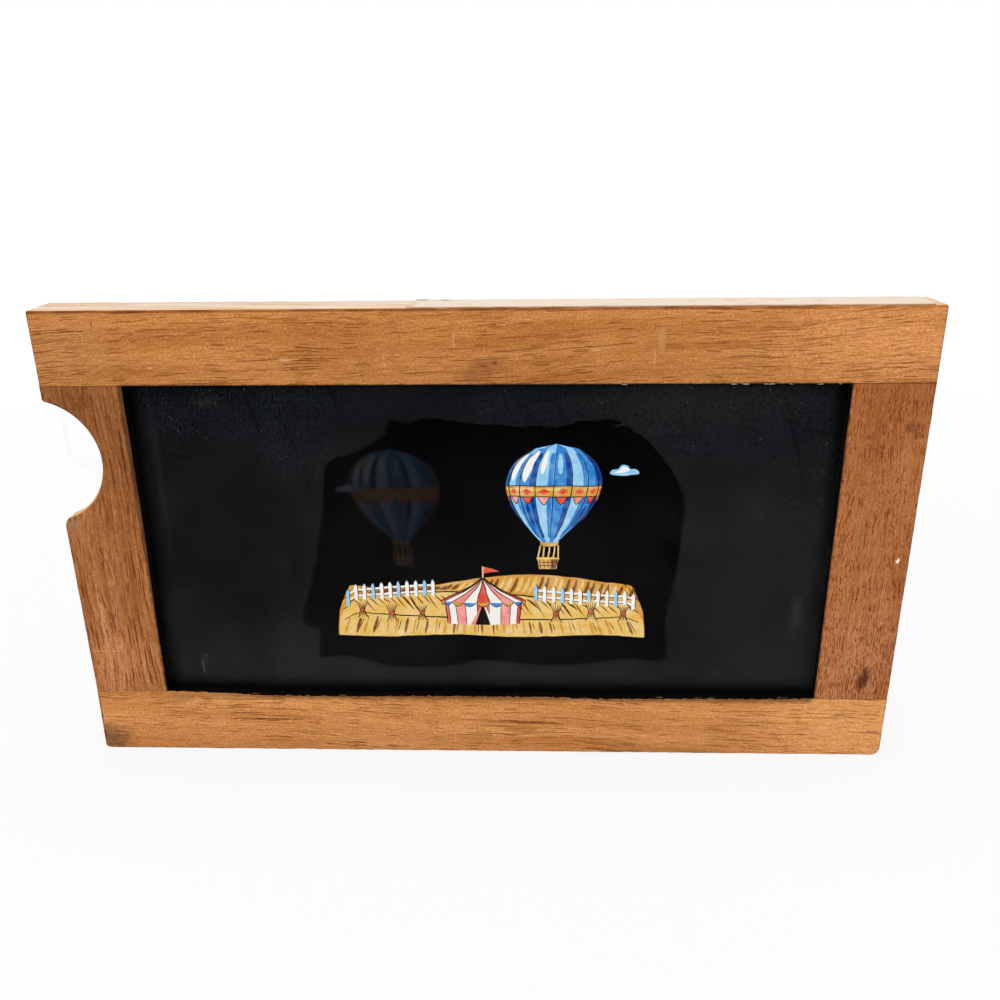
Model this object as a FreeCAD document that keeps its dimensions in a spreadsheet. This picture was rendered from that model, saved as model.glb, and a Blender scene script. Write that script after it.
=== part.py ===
import FreeCAD, Part
import os

import Sketcher

# A slipping slide for a magic lantern: a mahogany frame that holds one fixed picture glass and, behind it,
# a slip glass that is drawn out at the notched end. X runs along the frame, Y from its front to its back and
# Z up. The origin is under the middle of the bottom edge. Sizes are in millimetres.

SIZES = {
    # Frame
    "frame_length": 177.8,
    "frame_height": 101.6,
    "frame_thickness": 9.5,
    "top_rail_height": 15.1,
    "bottom_rail_height": 14.7,
    "stile_width": 16.1,
    "lip_thickness": 2.4,
    "rebate_depth": 4.0,
    "edge_easing": 0.4,
    "top_corner_round": 0.6,
    "left_foot_round": 1.0,
    "right_foot_round": 2.2,
    # Finger notch and lapped ends of the left stile
    "notch_radius": 13.0,
    "notch_depth": 10.2,
    "notch_top_land": 3.2,
    "notch_top_round": 0.8,
    "notch_foot_round": 3.0,
    "lap_length": 6.0,
    # Picture glass, black paper mask and card spacers
    "pane_thickness": 1.6,
    "pane_play": 0.3,
    "mask_thickness": 0.2,
    "mask_window_width": 70.0,
    "mask_window_height": 46.0,
    "spacer_thickness": 0.7,
    "glass_arris": 0.2,
    # Slip glass with its pull tab
    "slip_thickness": 1.6,
    "slip_play": 0.2,
    "slip_head_play": 0.3,
    "slip_travel": 36.0,
    "slip_tip_inset": 0.5,
    "slip_tab_height": 20.8,
    "slip_tab_slant": 6.8,
    "slip_heel_inset": 10.6,
    "slip_heel_round": 2.0,
    # Stop pin and the notch it stands in
    "stop_pin_diameter": 1.6,
    "stop_head_diameter": 4.0,
    "stop_head_height": 0.8,
    "stop_head_sink": 0.2,
    "stop_notch_depth": 2.6,
    "stop_play": 0.3,
    # Beads behind the glasses
    "bead_round": 0.8,
    "left_bead_width": 6.2,
    "bead_housing": 1.5,
    # Driven pins
    "bead_pin_diameter": 0.8,
    "bead_pin_head_diameter": 1.2,
    "bead_pin_head_height": 0.4,
    "bead_pin_length": 7.5,
    "bead_pin_inset": 20.0,
    "brad_diameter": 1.3,
    "brad_head_diameter": 2.4,
    "brad_head_height": 0.8,
    "brad_length": 24.0,
    "brad_sink": 0.3,
    "brad_inset": 7.4,
    "pin_point": 0.5,
    "pin_fit": 0.05,
    # Paper title strip on the top edge
    "title_end_inset": 2.4,
    "title_length": 100.0,
    "title_margin": 0.5,
    "title_thickness": 0.12,
}

# Places along the frame
LEFT_END = "(-Sizes.frame_length / 2)"
RIGHT_END = "(Sizes.frame_length / 2)"
OPENING_LEFT = f"({LEFT_END} + Sizes.stile_width)"
OPENING_RIGHT = f"({RIGHT_END} - Sizes.stile_width)"
PANE_LEFT = f"({OPENING_LEFT} - Sizes.rebate_depth)"
REBATE_WALL = f"({OPENING_RIGHT} + Sizes.rebate_depth)"
PANE_RIGHT = f"({REBATE_WALL} - Sizes.pane_play)"
LAP_RIGHT = f"({PANE_LEFT} - Sizes.pane_play)"
LEFT_BEAD_LEFT = f"({OPENING_LEFT} - Sizes.left_bead_width)"
NOTCH_X = f"({LEFT_END} + Sizes.notch_depth - Sizes.notch_radius)"
SLIP_TIP = f"({LEFT_END} + Sizes.slip_tip_inset)"
SLIP_HEEL = f"({LEFT_END} + Sizes.slip_heel_inset)"
STOP_X = "(-Sizes.slip_travel / 2)"
STOP_ROOM = "(Sizes.stop_pin_diameter / 2 + Sizes.stop_play)"
BRAD_X = f"({RIGHT_END} - Sizes.brad_inset)"
TITLE_RIGHT = f"({RIGHT_END} - Sizes.title_end_inset)"
TITLE_LEFT = f"({TITLE_RIGHT} - Sizes.title_length)"

# Layers from the front face to the back face
FRONT = "(-Sizes.frame_thickness / 2)"
BACK = "(Sizes.frame_thickness / 2)"
PANE_FRONT = f"({FRONT} + Sizes.lip_thickness)"
PANE_BACK = f"({PANE_FRONT} + Sizes.pane_thickness)"
MASK_BACK = f"({PANE_BACK} + Sizes.mask_thickness)"
SPACER_BACK = f"({MASK_BACK} + Sizes.spacer_thickness)"
SLIP_FRONT = f"({SPACER_BACK} + Sizes.slip_play)"
SLIP_MIDDLE = f"({SLIP_FRONT} + Sizes.slip_thickness / 2)"
SLIP_BACK = f"({SLIP_FRONT} + Sizes.slip_thickness)"
BEAD_FRONT = f"({SLIP_BACK} + Sizes.slip_play)"
BEAD_PIN_Y = f"(({BEAD_FRONT} + {BACK} - Sizes.bead_round) / 2)"

# Heights
TOP = "Sizes.frame_height"
BOTTOM_LIP = "Sizes.bottom_rail_height"
TOP_LIP = f"({TOP} - Sizes.top_rail_height)"
FLOOR = f"({BOTTOM_LIP} - Sizes.rebate_depth)"
ROOF = f"({TOP_LIP} + Sizes.rebate_depth)"
MIDDLE = f"(({BOTTOM_LIP} + {TOP_LIP}) / 2)"
PANE_TOP = f"({ROOF} - Sizes.pane_play)"
SLIP_TOP = f"({ROOF} - Sizes.slip_head_play)"
TAB_FOOT = f"({SLIP_TOP} - Sizes.slip_tab_height)"
HEEL_TOP = f"({TAB_FOOT} - Sizes.slip_tab_slant)"
STOP_NOTCH_TOP = f"({FLOOR} + Sizes.stop_notch_depth)"
NOTCH_HALF_CHORD = "sqrt(2 * Sizes.notch_radius * Sizes.notch_depth - Sizes.notch_depth ^ 2)"
NOTCH_TOP = f"({TOP_LIP} - Sizes.notch_top_land)"
NOTCH_Z = f"({NOTCH_TOP} - {NOTCH_HALF_CHORD})"
NOTCH_FOOT = f"({NOTCH_Z} - {NOTCH_HALF_CHORD})"

# Holes for driven pins, and how deep they go past the first piece
BRAD_HOLE = "(Sizes.brad_diameter + 2 * Sizes.pin_fit)"
BRAD_HEAD_HOLE = "(Sizes.brad_head_diameter + 2 * Sizes.pin_fit)"
BRAD_HEAD_RECESS = "(Sizes.brad_sink + Sizes.brad_head_height)"
BRAD_BITE_BOTTOM = f"(Sizes.brad_sink + Sizes.brad_length - {FLOOR} + Sizes.pin_fit)"
BRAD_BITE_TOP = f"(Sizes.brad_sink + Sizes.brad_length - ({TOP} - {ROOF}) + Sizes.pin_fit)"
BEAD_PIN_HOLE = "(Sizes.bead_pin_diameter + 2 * Sizes.pin_fit)"
BEAD_PIN_HEAD_HOLE = "(Sizes.bead_pin_head_diameter + 2 * Sizes.pin_fit)"
BEAD_PIN_BITE = "(Sizes.bead_pin_length - Sizes.rebate_depth + Sizes.pin_fit)"
STOP_HOLE = "(Sizes.stop_pin_diameter + 2 * Sizes.pin_fit)"
STOP_HEAD_HOLE = "(Sizes.stop_head_diameter + 2 * Sizes.pin_fit)"
STOP_HEAD_RECESS = "(Sizes.stop_head_sink + Sizes.stop_head_height)"

# Pins of the long beads along X, and of the right bead up Z
LONG_BEAD_PINS = {
    "left": f"({OPENING_LEFT} + Sizes.bead_pin_inset)",
    "middle": "0",
    "right": f"({OPENING_RIGHT} - Sizes.bead_pin_inset)",
}
RIGHT_BEAD_PINS = {
    "lower": f"({BOTTOM_LIP} + Sizes.bead_pin_inset)",
    "upper": f"({TOP_LIP} - Sizes.bead_pin_inset)",
}

START_POINT, END_POINT, CENTRE_POINT = range(1, 4)
SKETCH_ORIGIN = -1
SAME_PLACE = 1e-6

UPWARD = FreeCAD.Rotation()
DOWNWARD = FreeCAD.Rotation(FreeCAD.Vector(1, 0, 0), 180)
RIGHTWARD = FreeCAD.Rotation(FreeCAD.Vector(0, 1, 0), 90)

doc = FreeCAD.newDocument("slipping_slide")
sheet = doc.addObject("Spreadsheet::Sheet", "Sizes")
for row, (alias, size) in enumerate(SIZES.items(), start=1):
    sheet.set(f"A{row}", alias)
    sheet.set(f"B{row}", str(size))
    sheet.setAlias(f"B{row}", alias)
doc.recompute()

pieces = []


def value(expression):
    """What an expression of the sheet comes to, in millimetres."""
    return float(sheet.evalExpression(expression))


def sub_part(piece):
    """Keep a finished piece for the hand-in, under its own label."""
    pieces.append(piece)
    return piece


def new_body(label):
    """Start an empty body that is shaped by its own features."""
    body = doc.addObject("PartDesign::Body", label)
    body.Label = label
    return body


def new_sketch(body, name, plane, lift):
    """Lay a sketch on one of the body's own planes, lifted off it along the plane's normal."""
    sketch = body.newObject("Sketcher::SketchObject", f"{body.Name}_{name}")
    own_plane = next(feature for feature in body.Origin.OriginFeatures if feature.Role == plane)
    sketch.AttachmentSupport = [(own_plane, "")]
    sketch.MapMode = "FlatFace"
    sketch.setExpression("AttachmentOffset.Base.z", lift)
    return sketch


def bind_point(sketch, geometry, point, across, up):
    """Tie one point of a sketch to the sheet by its two distances from the sketch's origin."""
    for direction, place in (("DistanceX", across), ("DistanceY", up)):
        limit = Sketcher.Constraint(direction, SKETCH_ORIGIN, START_POINT, geometry, point, value(place))
        number = sketch.addConstraint(limit)
        sketch.setExpression(f"Constraints[{number}]", place)


def outline(body, name, plane, lift, corners):
    """Draw a closed straight-sided outline with every corner tied to the sheet."""
    sketch = new_sketch(body, name, plane, lift)
    points = [FreeCAD.Vector(value(across), value(up), 0) for across, up in corners]
    count = len(points)
    for index in range(count):
        sketch.addGeometry(Part.LineSegment(points[index], points[(index + 1) % count]))
    for index, (across, up) in enumerate(corners):
        following = (index + 1) % count
        sketch.addConstraint(Sketcher.Constraint("Coincident", index, END_POINT, following, START_POINT))
        bind_point(sketch, index, START_POINT, across, up)
    return sketch


def circle(body, name, plane, lift, across, up, diameter):
    """Draw a circle with its centre and its diameter tied to the sheet."""
    sketch = new_sketch(body, name, plane, lift)
    centre = FreeCAD.Vector(value(across), value(up), 0)
    sketch.addGeometry(Part.Circle(centre, FreeCAD.Vector(0, 0, 1), value(diameter) / 2))
    bind_point(sketch, 0, CENTRE_POINT, across, up)
    number = sketch.addConstraint(Sketcher.Constraint("Diameter", 0, value(diameter)))
    sketch.setExpression(f"Constraints[{number}]", diameter)
    return sketch


def pad(body, sketch, length):
    """Thicken a sketch along its normal."""
    feature = body.newObject("PartDesign::Pad", f"{sketch.Name}_pad")
    feature.Profile = sketch
    feature.setExpression("Length", length)
    return feature


def slab(body, name, corners, front, back):
    """Thicken an outline drawn as seen from the front, between two layers."""
    return pad(body, outline(body, name, "XZ_Plane", f"-{back}", corners), f"{back} - {front}")


def bar(body, name, corners, left, right):
    """Run a section drawn in Y and Z along the frame, between two places."""
    return pad(body, outline(body, name, "YZ_Plane", left, corners), f"{right} - {left}")


def rectangle(left, right, bottom, top):
    """Corners of an upright rectangle."""
    return [(left, bottom), (right, bottom), (right, top), (left, top)]


def cut(body, sketch, depth):
    """Cut a sketch away along its normal, and make sure that something was cut."""
    doc.recompute()
    volume_before = body.Shape.Volume
    feature = body.newObject("PartDesign::Pocket", f"{sketch.Name}_cut")
    feature.Profile = sketch
    feature.Reversed = True
    feature.setExpression("Length", depth)
    doc.recompute()
    if body.Shape.Volume >= volume_before:
        raise RuntimeError(f"{feature.Name} cuts nothing")
    return feature


def drill(body, name, plane, lift, across, up, diameter, depth):
    """Drill a round hole along a plane's normal, from its lift to its depth."""
    return cut(body, circle(body, name, plane, lift, across, up, diameter), depth)


def edges_where(shape, keep):
    """Names of the edges whose every end passes a test."""
    names = []
    for number, edge in enumerate(shape.Edges, start=1):
        if all(keep(vertex.Point) for vertex in edge.Vertexes):
            names.append(f"Edge{number}")
    return names


def at(coordinate, expression):
    """Tell whether a coordinate is where an expression puts it."""
    return abs(coordinate - value(expression)) < SAME_PLACE


def fillet(body, name, radius, keep):
    """Round the edges of a body that pass a test."""
    doc.recompute()
    base = body.Tip
    feature = body.newObject("PartDesign::Fillet", f"{body.Name}_{name}")
    feature.Base = (base, edges_where(base.Shape, keep))
    feature.setExpression("Radius", radius)
    doc.recompute()
    return feature


def arris(body, keep):
    """Take the sharp arris off the edges of a glass that pass a test."""
    doc.recompute()
    base = body.Tip
    feature = body.newObject("PartDesign::Chamfer", f"{body.Name}_arris")
    feature.Base = (base, edges_where(base.Shape, keep))
    feature.setExpression("Size", "Sizes.glass_arris")
    return feature


def place(piece, across, deep, up, turn=UPWARD):
    """Put a piece at a place that is tied to the sheet."""
    piece.Placement = FreeCAD.Placement(FreeCAD.Vector(), turn)
    piece.setExpression("Placement.Base.x", across)
    piece.setExpression("Placement.Base.y", deep)
    piece.setExpression("Placement.Base.z", up)
    return piece


def strip(label, left, right, front, back, bottom, top):
    """Make a plain square-edged strip or sheet."""
    piece = doc.addObject("Part::Box", label)
    piece.Label = label
    piece.setExpression("Length", f"{right} - {left}")
    piece.setExpression("Width", f"{back} - {front}")
    piece.setExpression("Height", f"{top} - {bottom}")
    return place(piece, left, front, bottom)


def pin(label, head_diameter, head_height, shank_diameter, length):
    """Turn a round-headed pin that points up, with the middle of its head's top at the origin."""
    body = new_body(label)
    head_radius = f"({head_diameter} / 2)"
    shank_radius = f"({shank_diameter} / 2)"
    shoulder = f"({length} - Sizes.pin_point)"
    tip_radius = f"({shank_diameter} / 4)"
    half = [("0", "0"), (head_radius, "0"), (head_radius, head_height), (shank_radius, head_height)]
    half += [(shank_radius, shoulder), (tip_radius, length), ("0", length)]
    sketch = outline(body, "half", "XZ_Plane", "0", half)
    turned = body.newObject("PartDesign::Revolution", f"{label}_turned")
    turned.Profile = sketch
    turned.ReferenceAxis = (sketch, ["V_Axis"])
    turned.Angle = 360
    return body


def group(label, members):
    """Gather like pieces into one node."""
    node = doc.addObject("Part::Compound", label)
    node.Label = label
    node.Links = members
    return sub_part(node)


def ease_outline(body, inner_edge):
    """Ease the arrises of a rail's front and back faces, apart from those at its inner edge."""
    for name, face in (("front_easing", FRONT), ("back_easing", BACK)):
        def on_outer_arris(point, face=face):
            return at(point.y, face)

        doc.recompute()
        base = body.Tip
        arrises = edges_where(base.Shape, on_outer_arris)
        inner = edges_where(base.Shape, lambda point: at(point.z, inner_edge))
        feature = body.newObject("PartDesign::Fillet", f"{body.Name}_{name}")
        feature.Base = (base, [edge for edge in arrises if edge not in inner])
        feature.setExpression("Radius", "Sizes.edge_easing")
        doc.recompute()


def make_top_rail():
    """Full-length rail over the glasses, rebated behind its front lip."""
    body = new_body("top_rail")
    section = [(FRONT, TOP_LIP), (FRONT, TOP), (BACK, TOP), (BACK, ROOF), (PANE_FRONT, ROOF)]
    section += [(PANE_FRONT, TOP_LIP)]
    bar(body, "section", section, LEFT_END, RIGHT_END)
    for side, end in (("left", LEFT_END), ("right", RIGHT_END)):
        fillet(body, f"{side}_corner", "Sizes.top_corner_round",
               lambda point, end=end: at(point.x, end) and at(point.z, TOP))
    ease_outline(body, ROOF)
    for name, along in LONG_BEAD_PINS.items():
        drill(body, f"{name}_pin_hole", "XY_Plane", ROOF, along, BEAD_PIN_Y, BEAD_PIN_HOLE, BEAD_PIN_BITE)
    drill(body, "brad_hole", "XY_Plane", ROOF, BRAD_X, "0", BRAD_HOLE, f"{TOP} - {ROOF}")
    drill(body, "brad_head", "XY_Plane", f"{TOP} - {BRAD_HEAD_RECESS}", BRAD_X, "0", BRAD_HEAD_HOLE,
          BRAD_HEAD_RECESS)
    return sub_part(body)


def make_bottom_rail():
    """Full-length rail under the glasses, with the stop pin's hole and the worn corners that it stands on."""
    body = new_body("bottom_rail")
    section = [(FRONT, "0"), (BACK, "0"), (BACK, FLOOR), (PANE_FRONT, FLOOR), (PANE_FRONT, BOTTOM_LIP)]
    section += [(FRONT, BOTTOM_LIP)]
    bar(body, "section", section, LEFT_END, RIGHT_END)
    for side, end in (("left", LEFT_END), ("right", RIGHT_END)):
        fillet(body, f"{side}_corner", f"Sizes.{side}_foot_round",
               lambda point, end=end: at(point.x, end) and at(point.z, "0"))
    ease_outline(body, FLOOR)
    for name, along in LONG_BEAD_PINS.items():
        drill(body, f"{name}_pin_hole", "XY_Plane", f"{FLOOR} - {BEAD_PIN_BITE}", along, BEAD_PIN_Y,
              BEAD_PIN_HOLE, BEAD_PIN_BITE)
    drill(body, "brad_hole", "XY_Plane", "0", BRAD_X, "0", BRAD_HOLE, FLOOR)
    drill(body, "brad_head", "XY_Plane", "0", BRAD_X, "0", BRAD_HEAD_HOLE, BRAD_HEAD_RECESS)
    drill(body, "stop_hole", "XY_Plane", "0", STOP_X, SLIP_MIDDLE, STOP_HOLE, FLOOR)
    drill(body, "stop_head", "XY_Plane", "0", STOP_X, SLIP_MIDDLE, STOP_HEAD_HOLE, STOP_HEAD_RECESS)
    return sub_part(body)


def make_right_stile():
    """Upright at the closed end: its front fits between the rails' lips and its back fills their rebates."""
    body = new_body("right_stile")
    slab(body, "front", rectangle(OPENING_RIGHT, RIGHT_END, BOTTOM_LIP, TOP_LIP), FRONT, PANE_FRONT)
    slab(body, "back", rectangle(REBATE_WALL, RIGHT_END, FLOOR, ROOF), PANE_FRONT, BACK)
    for name, face in (("front_easing", FRONT), ("back_easing", BACK)):
        fillet(body, name, "Sizes.edge_easing",
               lambda point, face=face: at(point.x, RIGHT_END) and at(point.y, face))
    drill(body, "lower_brad_hole", "XY_Plane", FLOOR, BRAD_X, "0", BRAD_HOLE, BRAD_BITE_BOTTOM)
    drill(body, "upper_brad_hole", "XY_Plane", f"{ROOF} - {BRAD_BITE_TOP}", BRAD_X, "0", BRAD_HOLE,
          BRAD_BITE_TOP)
    for name, height in RIGHT_BEAD_PINS.items():
        drill(body, f"{name}_pin_hole", "YZ_Plane", REBATE_WALL, BEAD_PIN_Y, height, BEAD_PIN_HOLE,
              BEAD_PIN_BITE)
    return sub_part(body)


def make_left_stile():
    """Thin cheek at the pull end, lapped behind the rails' lips, with its half-round finger notch."""
    body = new_body("left_stile")
    slab(body, "cheek", rectangle(LEFT_END, OPENING_LEFT, BOTTOM_LIP, TOP_LIP), FRONT, PANE_FRONT)
    upper_lap = rectangle(LEFT_END, LAP_RIGHT, f"{TOP_LIP} - Sizes.lap_length", ROOF)
    lower_lap = rectangle(LEFT_END, LAP_RIGHT, FLOOR, f"{BOTTOM_LIP} + Sizes.lap_length")
    slab(body, "upper_lap", upper_lap, PANE_FRONT, PANE_BACK)
    slab(body, "lower_lap", lower_lap, PANE_FRONT, PANE_BACK)
    notch_width = "2 * Sizes.notch_radius"
    notch = circle(body, "notch", "XZ_Plane", f"-{PANE_BACK}", NOTCH_X, NOTCH_Z, notch_width)
    cut(body, notch, f"{PANE_BACK} - {FRONT}")
    corners = {
        "notch_horn": (NOTCH_TOP, "min(Sizes.notch_top_round; Sizes.notch_top_land / 2)"),
        "notch_foot": (NOTCH_FOOT, "Sizes.notch_foot_round"),
    }
    for name, (height, radius) in corners.items():
        fillet(body, name, radius, lambda point, height=height: at(point.x, LEFT_END) and at(point.z, height))
    return sub_part(body)


def make_picture_glass():
    """Fixed pane that carries the picture, stood in the rebate behind the front lip."""
    body = new_body("picture_glass")
    slab(body, "pane", rectangle(PANE_LEFT, PANE_RIGHT, FLOOR, PANE_TOP), PANE_FRONT, PANE_BACK)
    arris(body, lambda point: True)
    return sub_part(body)


def make_slip_glass():
    """Sliding pane with a pull tab at the notched end and a long notch below for the stop pin."""
    body = new_body("slip_glass")
    stop_left = f"{STOP_X} - {STOP_ROOM}"
    stop_right = f"{STOP_X} + Sizes.slip_travel + {STOP_ROOM}"
    corners = [(SLIP_TIP, SLIP_TOP), (REBATE_WALL, SLIP_TOP), (REBATE_WALL, FLOOR), (stop_right, FLOOR)]
    corners += [(stop_right, STOP_NOTCH_TOP), (stop_left, STOP_NOTCH_TOP), (stop_left, FLOOR)]
    corners += [(SLIP_HEEL, FLOOR), (SLIP_HEEL, HEEL_TOP), (SLIP_TIP, TAB_FOOT)]
    slab(body, "pane", corners, SLIP_FRONT, SLIP_BACK)
    fillet(body, "heel_round", "Sizes.slip_heel_round",
           lambda point: at(point.x, SLIP_HEEL) and at(point.z, HEEL_TOP))
    arris(body, lambda point: at(point.x, SLIP_TIP) or at(point.z, SLIP_TOP) or at(point.x, REBATE_WALL))
    return sub_part(body)


def make_mask_paper():
    """Black paper behind the picture glass, with a plain window cut by hand."""
    half_width = "(Sizes.mask_window_width / 2)"
    half_height = "(Sizes.mask_window_height / 2)"
    sheet_of_paper = strip("mask_sheet", PANE_LEFT, PANE_RIGHT, PANE_BACK, MASK_BACK, FLOOR, PANE_TOP)
    window = strip("mask_window", f"(-{half_width})", half_width, PANE_BACK, MASK_BACK,
                   f"({MIDDLE} - {half_height})", f"({MIDDLE} + {half_height})")
    paper = doc.addObject("Part::Cut", "mask_paper")
    paper.Label = "mask_paper"
    paper.Base = sheet_of_paper
    paper.Tool = window
    return sub_part(paper)


def make_spacers():
    """Card strips that keep the slip glass off the painted glass."""
    spans = {
        "top_spacer": (LEFT_END, REBATE_WALL, TOP_LIP, ROOF),
        "bottom_spacer": (LEFT_END, REBATE_WALL, FLOOR, BOTTOM_LIP),
        "left_spacer": (PANE_LEFT, OPENING_LEFT, BOTTOM_LIP, TOP_LIP),
        "right_spacer": (OPENING_RIGHT, REBATE_WALL, BOTTOM_LIP, TOP_LIP),
    }
    for label, (left, right, bottom, top) in spans.items():
        sub_part(strip(label, left, right, MASK_BACK, SPACER_BACK, bottom, top))


def make_long_bead(label, inner_edge, outer_edge, hole_start, head_start, housing_start):
    """Bead along a rail's rebate, rounded on its inner edge and housed out for the left bead."""
    body = new_body(label)
    section = [(BEAD_FRONT, inner_edge), (BEAD_FRONT, outer_edge), (BACK, outer_edge), (BACK, inner_edge)]
    bar(body, "section", section, LEFT_END, REBATE_WALL)
    fillet(body, "round", "Sizes.bead_round", lambda point: at(point.y, BACK) and at(point.z, inner_edge))
    housing_corners = rectangle(LEFT_BEAD_LEFT, OPENING_LEFT, housing_start,
                                f"{housing_start} + Sizes.bead_housing")
    housing = outline(body, "housing", "XZ_Plane", f"-{BACK}", housing_corners)
    cut(body, housing, f"{BACK} - {BEAD_FRONT}")
    for name, along in LONG_BEAD_PINS.items():
        drill(body, f"{name}_hole", "XY_Plane", hole_start, along, BEAD_PIN_Y, BEAD_PIN_HOLE,
              "Sizes.rebate_depth")
        drill(body, f"{name}_head", "XY_Plane", head_start, along, BEAD_PIN_Y, BEAD_PIN_HEAD_HOLE,
              "Sizes.bead_pin_head_height")
    return sub_part(body)


def make_beads():
    """Four beads that close the rebate behind the slip glass, flush with the back of the frame."""
    make_long_bead("top_bead", TOP_LIP, ROOF, TOP_LIP, TOP_LIP, TOP_LIP)
    make_long_bead("bottom_bead", BOTTOM_LIP, FLOOR, FLOOR, f"{BOTTOM_LIP} - Sizes.bead_pin_head_height",
                   f"{BOTTOM_LIP} - Sizes.bead_housing")
    left = new_body("left_bead")
    left_corners = rectangle(LEFT_BEAD_LEFT, OPENING_LEFT, f"{BOTTOM_LIP} - Sizes.bead_housing",
                             f"{TOP_LIP} + Sizes.bead_housing")
    slab(left, "strip", left_corners, BEAD_FRONT, BACK)
    sub_part(left)
    right = new_body("right_bead")
    slab(right, "strip", rectangle(OPENING_RIGHT, REBATE_WALL, BOTTOM_LIP, TOP_LIP), BEAD_FRONT, BACK)
    for body in (left, right):
        inner_edge = OPENING_LEFT if body is left else OPENING_RIGHT
        fillet(body, "round", "Sizes.bead_round",
               lambda point, inner_edge=inner_edge: at(point.y, BACK) and at(point.x, inner_edge))
    for name, height in RIGHT_BEAD_PINS.items():
        drill(right, f"{name}_hole", "YZ_Plane", OPENING_RIGHT, BEAD_PIN_Y, height, BEAD_PIN_HOLE,
              "Sizes.rebate_depth")
        drill(right, f"{name}_head", "YZ_Plane", OPENING_RIGHT, BEAD_PIN_Y, height, BEAD_PIN_HEAD_HOLE,
              "Sizes.bead_pin_head_height")
    sub_part(right)


def make_stop_pin():
    """Pin up through the bottom rail into the slip glass's long notch."""
    reach = f"({STOP_NOTCH_TOP} - Sizes.stop_play - Sizes.stop_head_sink)"
    body = pin("stop_pin", "Sizes.stop_head_diameter", "Sizes.stop_head_height", "Sizes.stop_pin_diameter",
               reach)
    place(body, STOP_X, SLIP_MIDDLE, "Sizes.stop_head_sink")
    return sub_part(body)


def make_corner_brads():
    """Two brads through the rails into the ends of the right stile."""
    stands = {"lower_brad": ("Sizes.brad_sink", UPWARD), "upper_brad": (f"{TOP} - Sizes.brad_sink", DOWNWARD)}
    brads = []
    for label, (height, turn) in stands.items():
        body = pin(label, "Sizes.brad_head_diameter", "Sizes.brad_head_height", "Sizes.brad_diameter",
                   "Sizes.brad_length")
        brads.append(place(body, BRAD_X, "0", height, turn))
    return group("corner_brads", brads)


def make_bead_pins():
    """Small pins through the beads into the rails and the right stile."""
    stands = {}
    for name, along in LONG_BEAD_PINS.items():
        stands[f"top_{name}_pin"] = (along, TOP_LIP, UPWARD)
        stands[f"bottom_{name}_pin"] = (along, BOTTOM_LIP, DOWNWARD)
    for name, height in RIGHT_BEAD_PINS.items():
        stands[f"right_{name}_pin"] = (OPENING_RIGHT, height, RIGHTWARD)
    pins = []
    for label, (across, up, turn) in stands.items():
        body = pin(label, "Sizes.bead_pin_head_diameter", "Sizes.bead_pin_head_height",
                   "Sizes.bead_pin_diameter", "Sizes.bead_pin_length")
        pins.append(place(body, across, BEAD_PIN_Y, up, turn))
    return group("bead_pins", pins)


def make_title_strip():
    """Blank paper strip pasted on the top edge."""
    return sub_part(strip("title_strip", TITLE_LEFT, TITLE_RIGHT, f"({FRONT} + Sizes.title_margin)",
                          f"({BACK} - Sizes.title_margin)", TOP, f"({TOP} + Sizes.title_thickness)"))


def check_document():
    """Stop before anything is written if a feature failed or a piece is not a sound solid."""
    for item in doc.Objects:
        if "Invalid" in item.State or "Error" in item.State:
            raise RuntimeError(f"{item.Name} failed: {item.State}")
    for piece in pieces:
        if piece.Shape.isNull() or not piece.Shape.isValid() or not piece.Shape.Solids:
            raise RuntimeError(f"{piece.Label} is not a sound solid")


make_top_rail()
make_bottom_rail()
make_right_stile()
make_left_stile()
make_picture_glass()
make_mask_paper()
make_spacers()
make_slip_glass()
make_beads()
make_stop_pin()
make_corner_brads()
make_bead_pins()
make_title_strip()
doc.recompute()
check_document()

os.makedirs("parts", exist_ok=True)
for piece in pieces:
    piece.Shape.exportStep(os.path.join("parts", f"{piece.Label}.step"))
    print(f"{piece.Label}: {len(piece.Shape.Solids)} solid, {piece.Shape.Volume:.1f} mm3")
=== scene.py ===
import math
import random

import bmesh
import bpy
from mathutils import Matrix, Vector, noise
from mathutils.geometry import delaunay_2d_cdt


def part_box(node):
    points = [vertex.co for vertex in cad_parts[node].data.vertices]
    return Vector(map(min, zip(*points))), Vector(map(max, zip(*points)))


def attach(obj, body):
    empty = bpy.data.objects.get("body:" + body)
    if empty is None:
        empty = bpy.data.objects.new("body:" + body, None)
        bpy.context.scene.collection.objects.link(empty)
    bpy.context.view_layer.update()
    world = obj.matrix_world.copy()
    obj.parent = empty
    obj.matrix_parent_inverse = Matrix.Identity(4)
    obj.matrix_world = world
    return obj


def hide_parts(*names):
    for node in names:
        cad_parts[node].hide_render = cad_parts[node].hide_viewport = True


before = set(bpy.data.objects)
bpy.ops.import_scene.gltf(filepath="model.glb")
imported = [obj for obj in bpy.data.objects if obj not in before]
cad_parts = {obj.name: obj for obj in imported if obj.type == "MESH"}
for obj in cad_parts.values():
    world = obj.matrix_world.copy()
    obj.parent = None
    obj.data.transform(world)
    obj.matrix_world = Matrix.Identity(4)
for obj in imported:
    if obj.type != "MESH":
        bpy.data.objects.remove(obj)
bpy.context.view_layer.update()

bl_info = {
    "name": "Slipping slide",
    "version": (1, 0, 0),
    "blender": (4, 5, 0),
    "location": "View3D > Sidebar > Slide",
    "description": "Dresses a packed slipping slide in worn mahogany, painted glass and paper",
    "category": "Object",
}

# X runs along the frame, Y from its front to its back and Z up. Places are in millimetres until a mesh is made, and
# two of them count as one when they are this near.
MM = 0.001
NEAR = 0.02


def span(node):
    """Lowest and highest corner of a CAD node, in millimetres."""
    low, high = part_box(node)
    return low / MM, high / MM


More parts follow.
